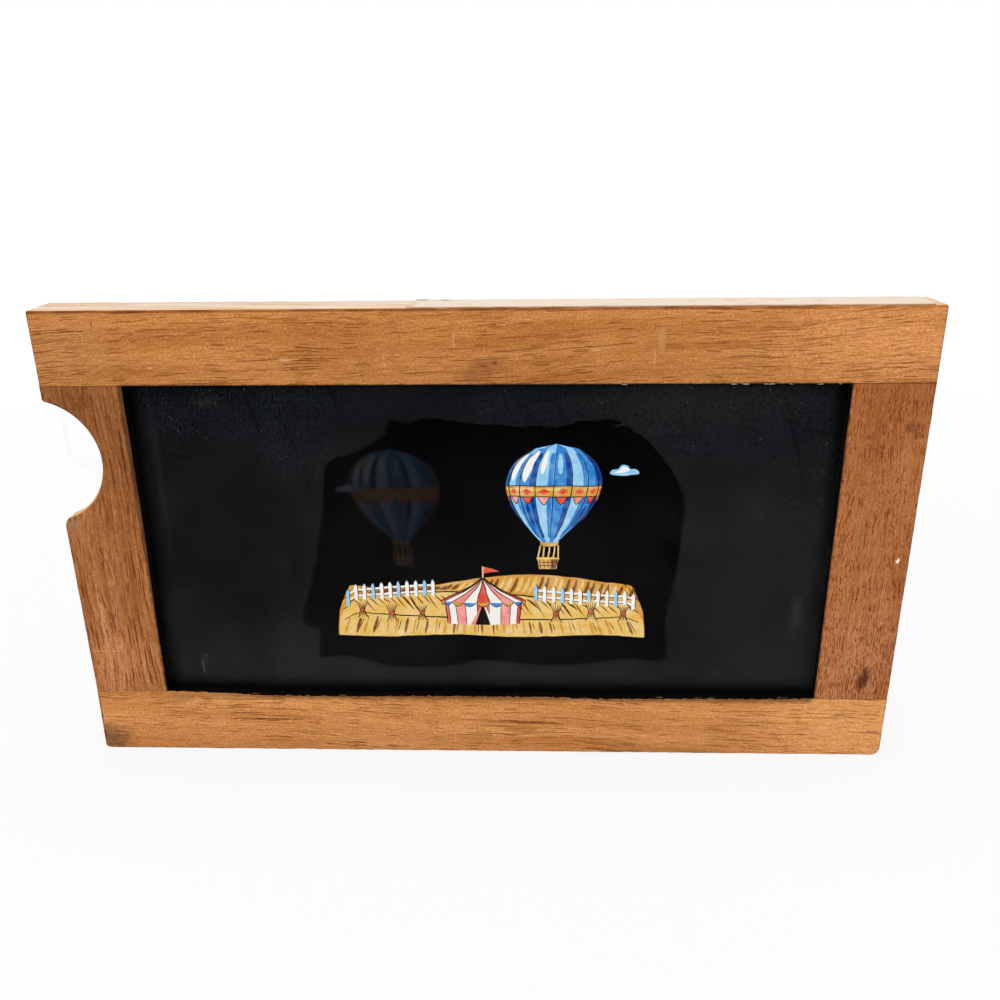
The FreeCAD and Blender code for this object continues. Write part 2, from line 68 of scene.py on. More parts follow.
TOP_LOW, TOP_HIGH = span("top_rail")
BOTTOM_HIGH = span("bottom_rail")[1]
CHEEK_HIGH = span("left_stile")[1]
STILE_LOW, STILE_HIGH = span("right_stile")
PANE_LOW, PANE_HIGH = span("picture_glass")
MASK_LOW, MASK_HIGH = span("mask_paper")
SLIP_LOW, SLIP_HIGH = span("slip_glass")
BEAD_LOW, BEAD_HIGH = span("left_bead")
STRIP_LOW, STRIP_HIGH = span("title_strip")

LEFT_END, RIGHT_END = TOP_LOW.x, TOP_HIGH.x
FRONT, BACK = TOP_LOW.y, TOP_HIGH.y
TOP_LIP, TOP = TOP_LOW.z, TOP_HIGH.z
BOTTOM_LIP = BOTTOM_HIGH.z
FLOOR, ROOF = STILE_LOW.z, STILE_HIGH.z
OPENING_LEFT, OPENING_RIGHT = CHEEK_HIGH.x, STILE_LOW.x
PANE_FRONT, PANE_BACK = PANE_LOW.y, PANE_HIGH.y
BEAD_FRONT = BEAD_LOW.y
REBATE_WALL = SLIP_HIGH.x

# How far wear reaches in from the frame's edges, across a face and into its depth
WORN_BAND, WORN_DEPTH = 0.45, 0.5

# Finger notch and lapped ends of the left stile, how far the bottom rail rises into it, and its bow
NOTCH_RADIUS, NOTCH_DEPTH, NOTCH_TOP = 13.0, 10.2, TOP_LIP - 3.2
NOTCH_X = LEFT_END + NOTCH_DEPTH - NOTCH_RADIUS
NOTCH_Z = NOTCH_TOP - math.sqrt(2 * NOTCH_RADIUS * NOTCH_DEPTH - NOTCH_DEPTH ** 2)
HORN_ROUND, FOOT_ROUND = 0.8, 3.0
STILE_RISE, STILE_BOW, STILE_CUTS = 0.6, 0.55, 40
LAP_RIGHT, LAP_LENGTH = PANE_LOW.x - 0.3, 6.0

# Holes that show: (x, y, radius, depth of the head's recess, radius of the shank's hole)
STOP_HOLE = (-18.0, 1.15, 2.05, 1.0, 0.85)
BRAD_HOLE = (81.5, 0.0, 1.25, 1.1, 0.7)
BEAD_PIN_Y, BEAD_HEAD, BEAD_HEAD_DEPTH = 3.05, 0.65, 0.4
BEAD_ROUND, BEAD_HOUSING = 0.8, 1.5
LONG_BEAD_PINS = (-52.8, 0.0, 52.8)
RIGHT_BEAD_PINS = (34.7, 66.5)
BORE_PAST = 0.3

# Turns of a rod or of the grain, and the axis that a lip faces along
UPRIGHT, LAID = (0, 0, 0), (0, math.pi / 2, 0)
ALONG, UP = 0, 2

# Seed that keeps every torn, brushed and worn edge alike from run to run
NOISE_SEED = 12

# How far the lower lip has worn from its drawn height: (x, rise)
LIP_WANDER = ((-90, 0.0), (OPENING_LEFT, 0.0), (-62, -0.12), (-50, -0.36), (-30, -0.44), (-17, -0.24), (-6, -0.16),
              (9, -0.2), (16, -0.3), (21, -0.58), (36, -0.56), (46, -0.44), (60, -0.32), (68, -0.2),
              (OPENING_RIGHT, 0.0), (90, 0.0))

# Splinters on the lower lip, and how far the paper flecks of the upper one hang
SPLINTERS, FLECK_DROOP = 24, -0.15

# Slip glass: pull tab at the notched end and the stop pin's long notch
TAB_FOOT, HEEL, HEEL_TOP, HEEL_ROUND = 69.4, -78.3, 62.6, 2.0
STOP_NOTCH_HALF, STOP_NOTCH_TOP = 19.1, 13.3

# Black paper's window with its snipped sides, each a (point, outward normal), and the layers behind the pane
WINDOW_LOW, WINDOW_HIGH = (-35.0, 27.6), (35.0, 73.6)
WINDOW_CUTS = (((-33.2, 65.5), (-0.6, 0.8)), ((34.0, 70.0), (0.775, 0.632)), ((-33.2, 60.0), (-1.0, 0.0)))
PAINT_FILM = 0.03
PAINT_BACK = PANE_BACK + PAINT_FILM
MASK_FRONT = PANE_BACK + 2 * PAINT_FILM
PATCH_LOW, PATCH_HIGH, PATCH_STEPS = 44.4, 79.0, 28

# Where the camera stood, which way it looked and its focal length for a frame one unit wide
CAMERA_PLACE = (10.449, -186.125, 131.735)
CAMERA_LOOK = (-0.035509, 0.932932, -0.358298)
CAMERA_UP = (-0.00054, 0.35851, 0.93353)
CAMERA_FOCUS, SENSOR, CLIP_START = 0.9403, 36.0, 0.005

# Stage, in metres: floor, and lamps as (name, place, size, power), all turned to one point
FLOOR_SIZE, FLOOR_DROP = 6.0, 0.08 * MM
LAMPS = (("overhead", (0.0, -0.1, 0.9), 0.9, 8.0), ("front_fill", (-0.5, -1.1, 0.7), 0.8, 4.6))
LAMP_TARGET = (0, 0, 0.05)


def linear(red, green, blue):
    """Scene-linear colour of an sRGB one given from 0 to 255."""
    def channel(level):
        level /= 255
        return level / 12.92 if level <= 0.04045 else ((level + 0.055) / 1.055) ** 2.4
    return tuple(channel(level) for level in (red, green, blue))


def scaled(colour, *factors):
    """A colour made darker or lighter, by one factor or by one for each channel."""
    return tuple(level * factor for level, factor in zip(colour, factors if len(factors) == 3 else factors * 3))


def length_property(name, description, millimetres):
    return bpy.props.FloatProperty(name=name, description=description, default=millimetres * MM, min=0.0,
                                   precision=5, unit="LENGTH", subtype="DISTANCE")


def colour_property(name, description, *levels):
    return bpy.props.FloatVectorProperty(name=name, description=description, default=linear(*levels), size=3,
                                         min=0.0, max=1.0, subtype="COLOR")


class SlideSizes(bpy.types.PropertyGroup):
    """Sizes of wear, paint and paper that a user would change."""

    outer_easing: length_property("Outer easing", "Round worn on the frame's outer edges", 0.4)
    opening_easing: length_property("Opening easing", "Round worn on the edges of the opening", 0.22)
    joint_easing: length_property("Joint easing", "Round left on edges that meet another piece", 0.06)
    edge_stray: length_property("Edge stray", "How far a worn edge wanders in and out", 0.16)
    arris: length_property("Glass arris", "Edge ground off the glasses", 0.2)
    splinter_length: length_property("Splinter length", "Longest splinter raised along the lower lip", 2.6)
    brush_stray: length_property("Brush stray", "How far a brushed edge wanders", 0.3)
    curl: length_property("Paper curl", "How high the title strip's loose end lifts", 0.16)


class SlideColours(bpy.types.PropertyGroup):
    """Colours of the slide's finishes."""

    rail_wood: colour_property("Rails", "Mahogany of the rails", 191, 125, 67)
    stile_wood: colour_property("Stiles", "Redder mahogany of the stiles", 168, 105, 61)
    bead_wood: colour_property("Beads", "Mahogany of the beads", 158, 98, 56)
    pore: colour_property("Pores", "Dark pores of the mahogany", 100, 35, 1)
    # Painted glare: a pale wood colour for the top face, where strong light from above washes the wood out.
    top_glare_wood: colour_property("Lit edge", "Overlit top edge", 204, 189, 172)
    # Black paint of the opening's inner faces, set darker than paint is so that it also carries the painted shade
    # inside the opening.
    lip_black: colour_property("Lip black", "Paint that blacks the opening's inner faces", 3, 2, 2)
    iron_stain: colour_property("Iron stain", "Stain that a brad leaves in mahogany", 96, 48, 26)
    mask: colour_property("Mask paper", "Dusty black paper", 21, 21, 22)
    ground: colour_property("Black ground", "Opaque black round the picture", 1, 1, 2)
    gold: colour_property("Gold", "Yellow ochre wash", 222, 164, 74)
    pale_gold: colour_property("Pale gold", "Thin ochre wash", 239, 199, 114)
    brown: colour_property("Brown", "Shaded ochre", 138, 84, 34)
    blue: colour_property("Blue", "Clear blue wash", 56, 140, 214)
    deep_blue: colour_property("Deep blue", "Blue shading", 18, 72, 158)
    pale_blue: colour_property("Pale blue", "Thin blue wash", 158, 209, 243)
    coral: colour_property("Coral", "Coral red wash", 229, 82, 62)
    pink: colour_property("Pink", "Thin coral wash", 244, 154, 144)
    white: colour_property("Bare glass", "Bare glass left for the lights", 250, 246, 240)
    ink: colour_property("Ink", "Brown-black outlines", 26, 16, 12)
    title_paper: colour_property("Title paper", "Aged paper strip", 207, 192, 176)
    card: colour_property("Card", "Grey-brown spacer card", 146, 128, 104)
    brass: colour_property("Brass", "Dull brass pins", 176, 136, 70)
    iron: colour_property("Iron", "Rusted brads", 74, 60, 52)


def sizes():
    return bpy.context.scene.slide_sizes


def colours():
    return bpy.context.scene.slide_colours


class Finish:
    """A material, or the world, whose nodes are added one by one."""

    def __init__(self, coated):
        self.coated = coated
        self.coated.use_nodes = True
        self.tree = self.coated.node_tree
        self.tree.nodes.clear()

    def add(self, kind, feeds=None, **settings):
        node = self.tree.nodes.new("ShaderNode" + kind)
        for key, setting in settings.items():
            setattr(node, key, setting)
        for key, feed in (feeds or {}).items():
            socket = node.inputs[key]
            if isinstance(feed, bpy.types.NodeSocket):
                self.tree.links.new(feed, socket)
            elif socket.type == "RGBA" and len(feed) == 3:
                socket.default_value = (*feed, 1.0)
            else:
                socket.default_value = feed
        return node

    def place(self):
        """Object coordinates in millimetres."""
        coordinates = self.add("TexCoord").outputs["Object"]
        return self.add("VectorMath", {0: coordinates, "Scale": 1 / MM}, operation="SCALE").outputs[0]

    def vector(self, operation, *vectors):
        outputs = self.add("VectorMath", dict(enumerate(vectors)), operation=operation).outputs
        return outputs["Value" if operation == "LENGTH" else "Vector"]

    def stretch(self, place, scale, turn=(0, 0, 0), shift=(0, 0, 0)):
        feeds = {"Vector": place, "Location": shift, "Rotation": turn, "Scale": scale}
        return self.add("Mapping", feeds).outputs[0]

    def noise(self, place, scale, detail=2.0, roughness=0.5, distortion=0.0, shift=(0, 0, 0)):
        """Soft noise; two scales ask for a flat one."""
        flat = len(scale) == 2
        feeds = {"Vector": self.stretch(place, (*scale, 1) if flat else scale, shift=shift), "Scale": 1.0,
                 "Detail": detail, "Roughness": roughness, "Distortion": distortion}
        return self.add("TexNoise", feeds, noise_dimensions="2D" if flat else "3D").outputs[0]

    def cells(self, sheet, scale, shift=(0, 0, 0), distance="EUCLIDEAN"):
        """Cells on a flat sheet."""
        feeds = {"Vector": self.stretch(sheet, (*scale, 1), shift=shift), "Scale": 1.0}
        return self.add("TexVoronoi", feeds, voronoi_dimensions="2D", distance=distance).outputs

    def sheet(self, place, lean=0.7):
        """A flat sheet: first axis kept, third across it, and the second folded in so that no side is left plain."""
        along, depth, up = self.split(place)
        across = self.math("ADD", up, self.times(depth, lean))
        return self.add("CombineXYZ", {0: along, 1: across}).outputs[0]

    def specks(self, sheet, spacing, size, share, shift=(0, 0, 0)):
        """1 on sparse round specks of a flat sheet: spacing and size in millimetres, share of the places used."""
        cell = self.cells(sheet, (1 / spacing, 1 / spacing), shift)
        chance = self.add("SeparateColor", {0: cell["Color"]}).outputs[1]
        wide = self.add("SeparateColor", {0: cell["Color"]}).outputs[2]
        edge = self.reach(wide, 0.0, 1.0, size * 0.5 / spacing, size * 1.3 / spacing)
        near = self.math("LESS_THAN", cell["Distance"], edge)
        return self.times(near, self.math("LESS_THAN", chance, share))

    def math(self, operation, *values):
        return self.add("Math", dict(enumerate(values)), operation=operation).outputs[0]

    def times(self, first, *others):
        """Values multiplied one after another."""
        for other in others:
            first = self.math("MULTIPLY", first, other)
        return first

    def most(self, first, *others):
        """The largest of some values."""
        for other in others:
            first = self.math("MAXIMUM", first, other)
        return first

    def reach(self, amount, low, high, to_low=0.0, to_high=1.0):
        feeds = {"Value": amount, "From Min": low, "From Max": high, "To Min": to_low, "To Max": to_high}
        return self.add("MapRange", feeds).outputs[0]

    def mix(self, share, first, second, blend="MIX"):
        return self.add("Mix", {0: share, 6: first, 7: second}, data_type="RGBA", blend_type=blend).outputs[2]

    def split(self, place):
        return self.add("SeparateXYZ", {0: place}).outputs

    def spot(self, place, centre, radii, ragged):
        """1 in the middle of a mark and 0 outside it, with a ragged rim."""
        offset = self.vector("DIVIDE", self.vector("SUBTRACT", place, centre), radii)
        return self.reach(self.math("ADD", self.vector("LENGTH", offset), ragged), 1.0, 0.3)

    def mark(self, colour, place, ragged, marks):
        """A colour with marks laid over it, each given as (centre, radii, colour, strength)."""
        for centre, radii, tint, strength in marks:
            colour = self.mix(self.times(self.spot(place, centre, radii, ragged), strength), colour, tint)
        return colour

    def bump(self, height, depth, strength=1.0):
        feeds = {"Height": height, "Distance": depth * MM, "Strength": strength}
        return self.add("Bump", feeds).outputs[0]

    def blend(self, share, first, second):
        """Two shaders mixed."""
        return self.add("MixShader", {0: share, 1: first.outputs[0], 2: second.outputs[0]})

    def surface(self, shader, kind="OutputMaterial"):
        self.tree.links.new(shader.outputs[0], self.add(kind).inputs["Surface"])
        return self.coated

    def coat(self, colour, roughness, gloss, normal):
        """Ends the material as an opaque coat."""
        feeds = {"Base Color": colour, "Roughness": roughness, "Specular IOR Level": gloss, "Normal": normal}
        return self.surface(self.add("BsdfPrincipled", feeds))


def pore_dashes(finish, sheet, pores, faint):
    """Dark dashes along the grain, in loose clusters. The share of the places used swings with the cluster."""
    cluster = finish.noise(sheet, (0.04, 0.14), detail=2.0, shift=(4, 9, 0))
    dashes = []
    for index, (length, width, size, share) in enumerate(pores):
        cell = finish.cells(sheet, (1 / length, 1 / width), (index * 7.3, index * 3.1, 0), "CHEBYCHEV")
        chance, depth, _ = finish.add("SeparateColor", {0: cell["Color"]}).outputs
        limit = finish.reach(cluster, 0.35, 0.68, share * 0.25, min(1.0, share * 1.8))
        shown = finish.times(finish.math("LESS_THAN", chance, limit), finish.reach(depth, 0.0, 1.0, faint, 1.0))
        dashes.append(finish.times(finish.reach(cell["Distance"], size, size * 0.7), shown))
    return finish.most(*dashes)


def sawn_ends(finish, colour, place, wood):
    """End grain on the sawn ends of a rail."""
    along, depth, height = finish.split(place)
    end = finish.most(finish.reach(along, LEFT_END + 0.1, LEFT_END + 0.02),
                      finish.reach(along, RIGHT_END - 0.1, RIGHT_END - 0.02))
    cut = finish.add("CombineXYZ", {0: depth, 1: height}).outputs[0]
    rings = finish.noise(cut, (0.22, 1.3), detail=3.0, distortion=0.5)
    sawn = finish.mix(finish.reach(rings, 0.3, 0.7), scaled(wood, 0.85), scaled(wood, 0.55))
    sawn = finish.mix(finish.times(finish.specks(cut, 0.5, 0.16, 0.7), 0.6), sawn, tuple(colours().pore))
    return finish.mix(end, colour, sawn)


def blacked_lip(finish, colour, place, ragged, grime, wood, lip, spread):
    """A lip blacked towards the glass, with a worn pale arris before the black and a darker band beside it."""
    along, depth, height = finish.split(place)
    axis, edge, side = lip
    band_height, band_fade = spread
    toward = (along, depth, height)[axis]
    inside = finish.reach(finish.math("ABSOLUTE", along), OPENING_RIGHT + 0.8, OPENING_RIGHT + 0.6)
    inner = finish.times(finish.reach(toward, edge - side * 1.4, edge - side * 1.3), inside)
    behind = finish.reach(finish.math("ADD", depth, finish.times(ragged, 0.25)), FRONT + 0.28, FRONT + 0.36)
    arris = finish.times(finish.reach(depth, FRONT + 0.03, FRONT + 0.1), finish.times(inner, grime))
    rubbed = tuple(min(1.0, level * 1.5 + 0.06) for level in wood)
    colour = finish.mix(finish.times(arris, 0.6), colour, rubbed)
    # A darker band on the face beside the lip, which fades in and out towards the ends of a rail's opening.
    beside = finish.math("ADD", toward, finish.times(ragged, 0.6))
    dark_band = finish.reach(beside, edge - side * band_height, edge - side * band_height * 0.2, 0.0, 0.7)
    if axis == UP:
        for start, stop in ((OPENING_LEFT - 0.2, OPENING_LEFT - 0.2 + band_fade),
                            (OPENING_RIGHT + 0.2, OPENING_RIGHT - 0.8)):
            dark_band = finish.times(dark_band, finish.reach(along, start, stop))
    colour = finish.mix(dark_band, colour, scaled(wood, 0.12))
    # The lip's inner faces get the black paint, which also stands for the painted shade inside the opening.
    return finish.mix(finish.times(inner, behind), colour, tuple(colours().lip_black))


def mahogany(name, along, wood, pores, tones=(), marks=(), lip=None, notched=False, top_grime_and_glare=False, seed=0.0,
             faint=0.4, tilt=0.0, stripes=0.06, spread=(0.35, 1.0)):
    """Mahogany with its grain along one axis. Pores are (length, width, size, share), tones under the grain and
    marks over it are (centre, radii, colour, strength), a lip blacked towards the glass is (axis, place, side),
    and the darker band beside that lip is (height, length over which it fades in)."""
    finish = Finish(bpy.data.materials.new(name))
    place = finish.place()
    turn = (0, tilt, 0) if along == "X" else LAID
    straight = finish.stretch(place, (1, 1, 1), turn, (seed, seed / 3, seed / 2))
    sway = finish.reach(finish.noise(straight, (0.02, 0.05, 0.05)), 0.25, 0.75, -0.9, 0.9)
    grain = finish.vector("ADD", straight, finish.add("CombineXYZ", {1: sway, 2: sway}).outputs[0])
    jitter = finish.reach(finish.noise(grain, (0.25, 0.5, 0.5)), 0.25, 0.75, -0.16, 0.16)
    grain = finish.vector("ADD", grain, finish.add("CombineXYZ", {2: jitter}).outputs[0])
    sheet = finish.sheet(grain)

    figure = finish.noise(sheet, (0.014, 0.3), detail=3.0, distortion=0.4)
    ribbon = finish.noise(sheet, (0.045, 0.06), detail=1.0, shift=(3, 8, 0))
    fibre = finish.noise(sheet, (0.3, 3.4), detail=3.0, roughness=0.65)
    mottle = finish.noise(sheet, (1.9, 2.7), detail=3.0, roughness=0.75)
    stripe = finish.noise(sheet, (0.05, 2.0), detail=2.0, roughness=0.6, shift=(13, 2, 0))
    ragged = finish.reach(finish.noise(place, (0.7, 0.7, 0.7), detail=3.0), 0.2, 0.8, -0.4, 0.4)
    dark, light = scaled(wood, 0.81, 0.73, 0.6), scaled(wood, 1.08, 1.11, 1.17)
    bright = scaled(wood, 1.5, 1.8, 2.5)
    pore, grimy = tuple(colours().pore), scaled(colours().pore, 0.7)

    colour = finish.mix(finish.reach(figure, 0.32, 0.7), light, dark)
    colour = finish.mix(finish.reach(ribbon, 0.3, 0.7, 0.0, 0.5), colour, light)
    colour = finish.mark(colour, place, ragged, tones)
    tone = finish.times(finish.reach(fibre, 0.3, 0.7, 0.8, 1.18), finish.reach(mottle, 0.3, 0.7, 0.74, 1.26))
    tone = finish.times(tone, finish.reach(stripe, 0.3, 0.7, 1 - stripes, 1 + stripes))
    red, green, blue = (finish.math("POWER", tone, power) for power in (0.8, 1.16, 2.1))
    tone = finish.add("CombineColor", {0: red, 1: green, 2: blue}).outputs[0]
    colour = finish.mix(1.0, colour, tone, "MULTIPLY")
    dash = pore_dashes(finish, sheet, pores, faint)
    colour = finish.mix(finish.times(dash, finish.reach(mottle, 0.34, 0.54, 0.3, 1.0)), colour, pore)
    hair = finish.noise(sheet, (0.05, 0.08), detail=3.0, shift=(31, 5, 0))
    hair = finish.reach(finish.math("ABSOLUTE", finish.math("SUBTRACT", hair, 0.5)), 0.003, 0.0)
    hair_here = finish.reach(finish.noise(sheet, (0.04, 0.09), shift=(3, 41, 0)), 0.52, 0.66, 0.0, 0.3)
    colour = finish.mix(finish.times(hair, hair_here), colour, bright)
    colour = finish.mix(finish.times(finish.specks(sheet, 5.0, 0.22, 0.3), 0.4), colour, bright)
    colour = finish.mark(colour, place, ragged, marks)
    if along == "X":
        colour = sawn_ends(finish, colour, place, wood)

    along_frame, depth, height = finish.split(place)
    grime = finish.reach(finish.noise(place, (0.16, 0.5, 0.5), detail=3.0), 0.4, 0.6, 0.1, 0.9)
    outer = finish.most(finish.reach(along_frame, LEFT_END + 0.34, LEFT_END + 0.1),
                        finish.reach(along_frame, RIGHT_END - 0.34, RIGHT_END - 0.1),
                        finish.reach(height, 0.42, 0.15))
    rim = finish.times(outer, finish.reach(depth, FRONT + 0.6, FRONT + 0.3))
    if notched:
        spoke = finish.vector("MULTIPLY", finish.vector("SUBTRACT", place, (NOTCH_X, 0, NOTCH_Z)), (1, 0, 1))
        hollow = finish.reach(finish.vector("LENGTH", spoke), NOTCH_RADIUS + 0.42, NOTCH_RADIUS + 0.15)
        foot = finish.times(hollow, finish.reach(height, NOTCH_Z - 4, NOTCH_Z - 9))
        colour = finish.mix(finish.times(foot, 0.75), colour, linear(232, 186, 132))
        rim = finish.most(rim, finish.times(hollow, finish.reach(height, NOTCH_Z - 8, NOTCH_Z + 2)))
    # A dark grime line along the top front arris.
    if top_grime_and_glare:
        line = finish.times(finish.reach(height, TOP - 0.75, TOP - 0.45), finish.reach(height, TOP - 0.04, TOP - 0.1),
                            finish.reach(along_frame, 50.0, 80.0, 1.0, 0.6))
        colour = finish.mix(finish.times(line, finish.reach(grime, 0.1, 0.9, 0.4, 0.7)), colour, grimy)
    colour = finish.mix(finish.times(rim, grime), colour, grimy)
    # Painted glare on the top face: a pale wash where strong light from above washes the wood out, warmer towards the
    # front arris.
    if top_grime_and_glare:
        streak = finish.noise(place, (0.05, 1.6, 1.0), detail=3.0, shift=(2, 6, 4))
        top_glare = finish.mix(finish.reach(streak, 0.42, 0.68), tuple(colours().top_glare_wood), linear(182, 143, 109))
        front = finish.reach(depth, FRONT + 2.4, FRONT + 0.2, 0.0, 0.5)
        top_glare = finish.mix(front, top_glare, linear(206, 158, 108))
        colour = finish.mix(finish.reach(height, TOP - 0.1, TOP - 0.03, 0.0, 0.94), colour, top_glare)
    if lip is not None:
        colour = blacked_lip(finish, colour, place, ragged, grime, wood, lip, spread)

    relief = finish.math("SUBTRACT", finish.times(fibre, 0.35), dash)
    return finish.coat(colour, finish.reach(figure, 0.3, 0.7, 0.5, 0.66), 0.03, finish.bump(relief, 0.07, 0.8))


def clear_glass(name, dust_low, dust_high):
    """Thin old glass: nearly all of the light goes through, and dust lies thicker towards the foot, but thins away just
    above the lower lip as a painted shade of that lip.
    """
    finish = Finish(bpy.data.materials.new(name))
    place = finish.place()
    height = finish.split(place)[2]
    # Dust thicker towards the foot, thinned away just above the lower lip as a painted shade of that lip.
    film = finish.times(finish.reach(height, FLOOR, ROOF, dust_low, dust_high),
                        finish.reach(height, BOTTOM_LIP + 0.2, BOTTOM_LIP + 2.8, 0.12, 1.0))
    spread = finish.reach(finish.noise(place, (0.06, 0.06, 0.05), detail=4.0, distortion=0.6), 0.3, 0.75, 0.55, 1.5)
    grain = finish.reach(finish.noise(place, (2.4, 2.4, 1.9), detail=3.0, roughness=0.7), 0.3, 0.7, 0.4, 1.6)
    # Less dust on a broad spot at the left middle.
    less_dust_spot = finish.spot(place, (-58, PANE_FRONT, 47), (36, 9, 26), finish.math("SUBTRACT", spread, 1.0))
    film = finish.times(film, finish.reach(less_dust_spot, 0.0, 1.0, 1.0, 0.5))
    grit = finish.specks(finish.sheet(place, 0.0), 4.0, 0.11, 0.4)
    dust = finish.math("ADD", finish.times(film, finish.times(spread, grain)), finish.times(grit, 0.06))
    through = finish.add("BsdfTransparent", {"Color": (0.994, 0.997, 0.996)})
    haze = finish.add("BsdfPrincipled", {"Base Color": (0.62, 0.63, 0.64), "Roughness": 0.9, "Specular IOR Level": 0.0})
    gloss = finish.add("BsdfGlossy", {"Color": (1, 1, 1), "Roughness": 0.06})
    mirror = finish.reach(finish.add("Fresnel", {"IOR": 1.5}).outputs[0], 0.065, 0.4, 0.0, 0.4)
    return finish.surface(finish.blend(mirror, finish.blend(dust, through, haze), gloss))


def glass_edge(name):
    """Ground edge of a glass, a little greener and duller than its faces."""
    finish = Finish(bpy.data.materials.new(name))
    chips = finish.noise(finish.place(), (1.6, 1.6, 1.6), detail=3.0)
    through = finish.add("BsdfTransparent", {"Color": (0.982, 0.99, 0.987)})
    ground = finish.add("BsdfPrincipled", {"Base Color": (0.6, 0.68, 0.65), "Roughness": 0.4})
    return finish.surface(finish.blend(finish.reach(chips, 0.4, 0.75, 0.006, 0.045), through, ground))


def black_paper(name):
    """Black paper greyed by dust, with rubs, specks and a darker rim in the opening's shade."""
    finish = Finish(bpy.data.materials.new(name))
    place = finish.place()
    along, _, height = finish.split(place)
    sheet = finish.sheet(place, 0.0)
    black = tuple(colours().mask)
    shade = scaled(black, 0.3)
    pale, chalk, cool_dust = (0.16, 0.16, 0.155), (0.42, 0.42, 0.4), (0.135, 0.16, 0.19)
    cloud = finish.noise(place, (0.035, 0.035, 0.05), detail=4.0, roughness=0.6, distortion=0.5)
    low = finish.mix(finish.reach(cloud, 0.3, 0.7), scaled(black, 0.75), scaled(black, 1.5))
    cool = finish.mix(1.0, low, (0.86, 1.0, 1.14), "MULTIPLY")
    colour = finish.mix(finish.reach(height, 45.0, 80.0), low, cool)
    weave = finish.noise(sheet, (2.6, 1.3), detail=3.0, roughness=0.75)
    fibre = finish.reach(weave, 0.3, 0.7, 0.1, 1.9)
    tone = finish.add("CombineColor", {0: fibre, 1: fibre, 2: fibre}).outputs[0]
    colour = finish.mix(1.0, colour, tone, "MULTIPLY")

    slant = finish.stretch(place, (1, 1, 1), (0, 0.32, 0))
    rub = finish.noise(slant, (0.5, 0.5, 0.03), detail=3.0, shift=(5, 2, 1))
    colour = finish.mix(finish.reach(rub, 0.62, 0.78, 0.0, 0.6), colour, shade)
    scratch = finish.noise(slant, (0.09, 0.09, 0.03), detail=2.0, shift=(15, 3, 6))
    scratch = finish.reach(finish.math("ABSOLUTE", finish.math("SUBTRACT", scratch, 0.46)), 0.003, 0.0, 0.0, 0.7)
    colour = finish.mix(finish.times(scratch, finish.reach(cloud, 0.5, 0.62)), colour, shade)
    for spacing, size, share in ((9.0, 0.15, 0.3), (3.0, 0.11, 0.3)):
        speck = finish.specks(sheet, spacing, size, share, (spacing, 2 * spacing, 0))
        colour = finish.mix(finish.times(speck, finish.reach(cloud, 0.35, 0.65, 0.05, 0.36)), colour, chalk)

    ragged = finish.reach(finish.noise(place, (1.2, 1.2, 1.2), detail=4.0), 0.25, 0.75, -0.45, 0.45)
    smoky = finish.reach(finish.noise(place, (0.09, 0.09, 0.09), detail=2.0), 0.25, 0.75, -0.3, 0.3)
    colour = finish.mark(colour, place, smoky, (((-10, 0, 78), (27, 9, 15), shade, 0.3),
                                                ((-58, 0, 50), (28, 9, 28), shade, 0.72)))
    colour = finish.mark(colour, place, ragged, (((-65.2, 0, 19.3), (0.26, 9, 2.4), pale, 0.34),
                                                 ((-64.6, 0, 21.0), (1.6, 9, 3.4), pale, 0.05),
                                                 ((-64.0, 0, 22.6), (0.34, 9, 0.4), pale, 0.34),
                                                 ((-57, 0, 82), (4.5, 9, 2.0), pale, 0.04),
                                                 ((68, 0, 33), (2.2, 9, 6), pale, 0.075),
                                                 ((-68.8, 0, 62), (1.0, 9, 26), pale, 0.035),
                                                 ((-62, 0, 22), (11, 9, 9), pale, 0.012),
                                                 ((44, 0, 83), (32, 9, 10), pale, 0.045),
                                                 ((-44.5, 0, 44), (1.6, 9, 5), pale, 0.03),
                                                 ((0, 0, 16.5), (60, 9, 6), pale, 0.012)))
    colour = finish.mark(colour, place, smoky, (((62, 0, 62), (30, 9, 24), cool_dust, 0.014),
                                                ((44, 0, 83), (36, 9, 10), cool_dust, 0.018),
                                                ((-14, 0, 84), (34, 9, 9), cool_dust, 0.022)))
    inside = finish.math("SUBTRACT", along, OPENING_LEFT)
    for room in (finish.math("SUBTRACT", OPENING_RIGHT, along), finish.math("SUBTRACT", height, BOTTOM_LIP),
                 finish.times(finish.math("SUBTRACT", TOP_LIP, height), 1.5)):
        inside = finish.math("MINIMUM", inside, room)
    colour = finish.mix(finish.reach(inside, 2.6, 0.2, 0.0, 0.85), colour, scaled(black, 0.12))
    return finish.coat(colour, 0.9, 0.01, finish.bump(weave, 0.02, 0.4))


def black_paint(name, black, streak):
    """Opaque black paint with a brush's fine streaks."""
    finish = Finish(bpy.data.materials.new(name))
    stroke = finish.noise(finish.place(), streak, detail=3.0)
    colour = finish.mix(finish.reach(stroke, 0.35, 0.75), scaled(black, 0.6), scaled(black, 1.5))
    return finish.coat(colour, finish.reach(stroke, 0.3, 0.7, 0.5, 0.75), 0.0, finish.bump(stroke, 0.01, 0.5))


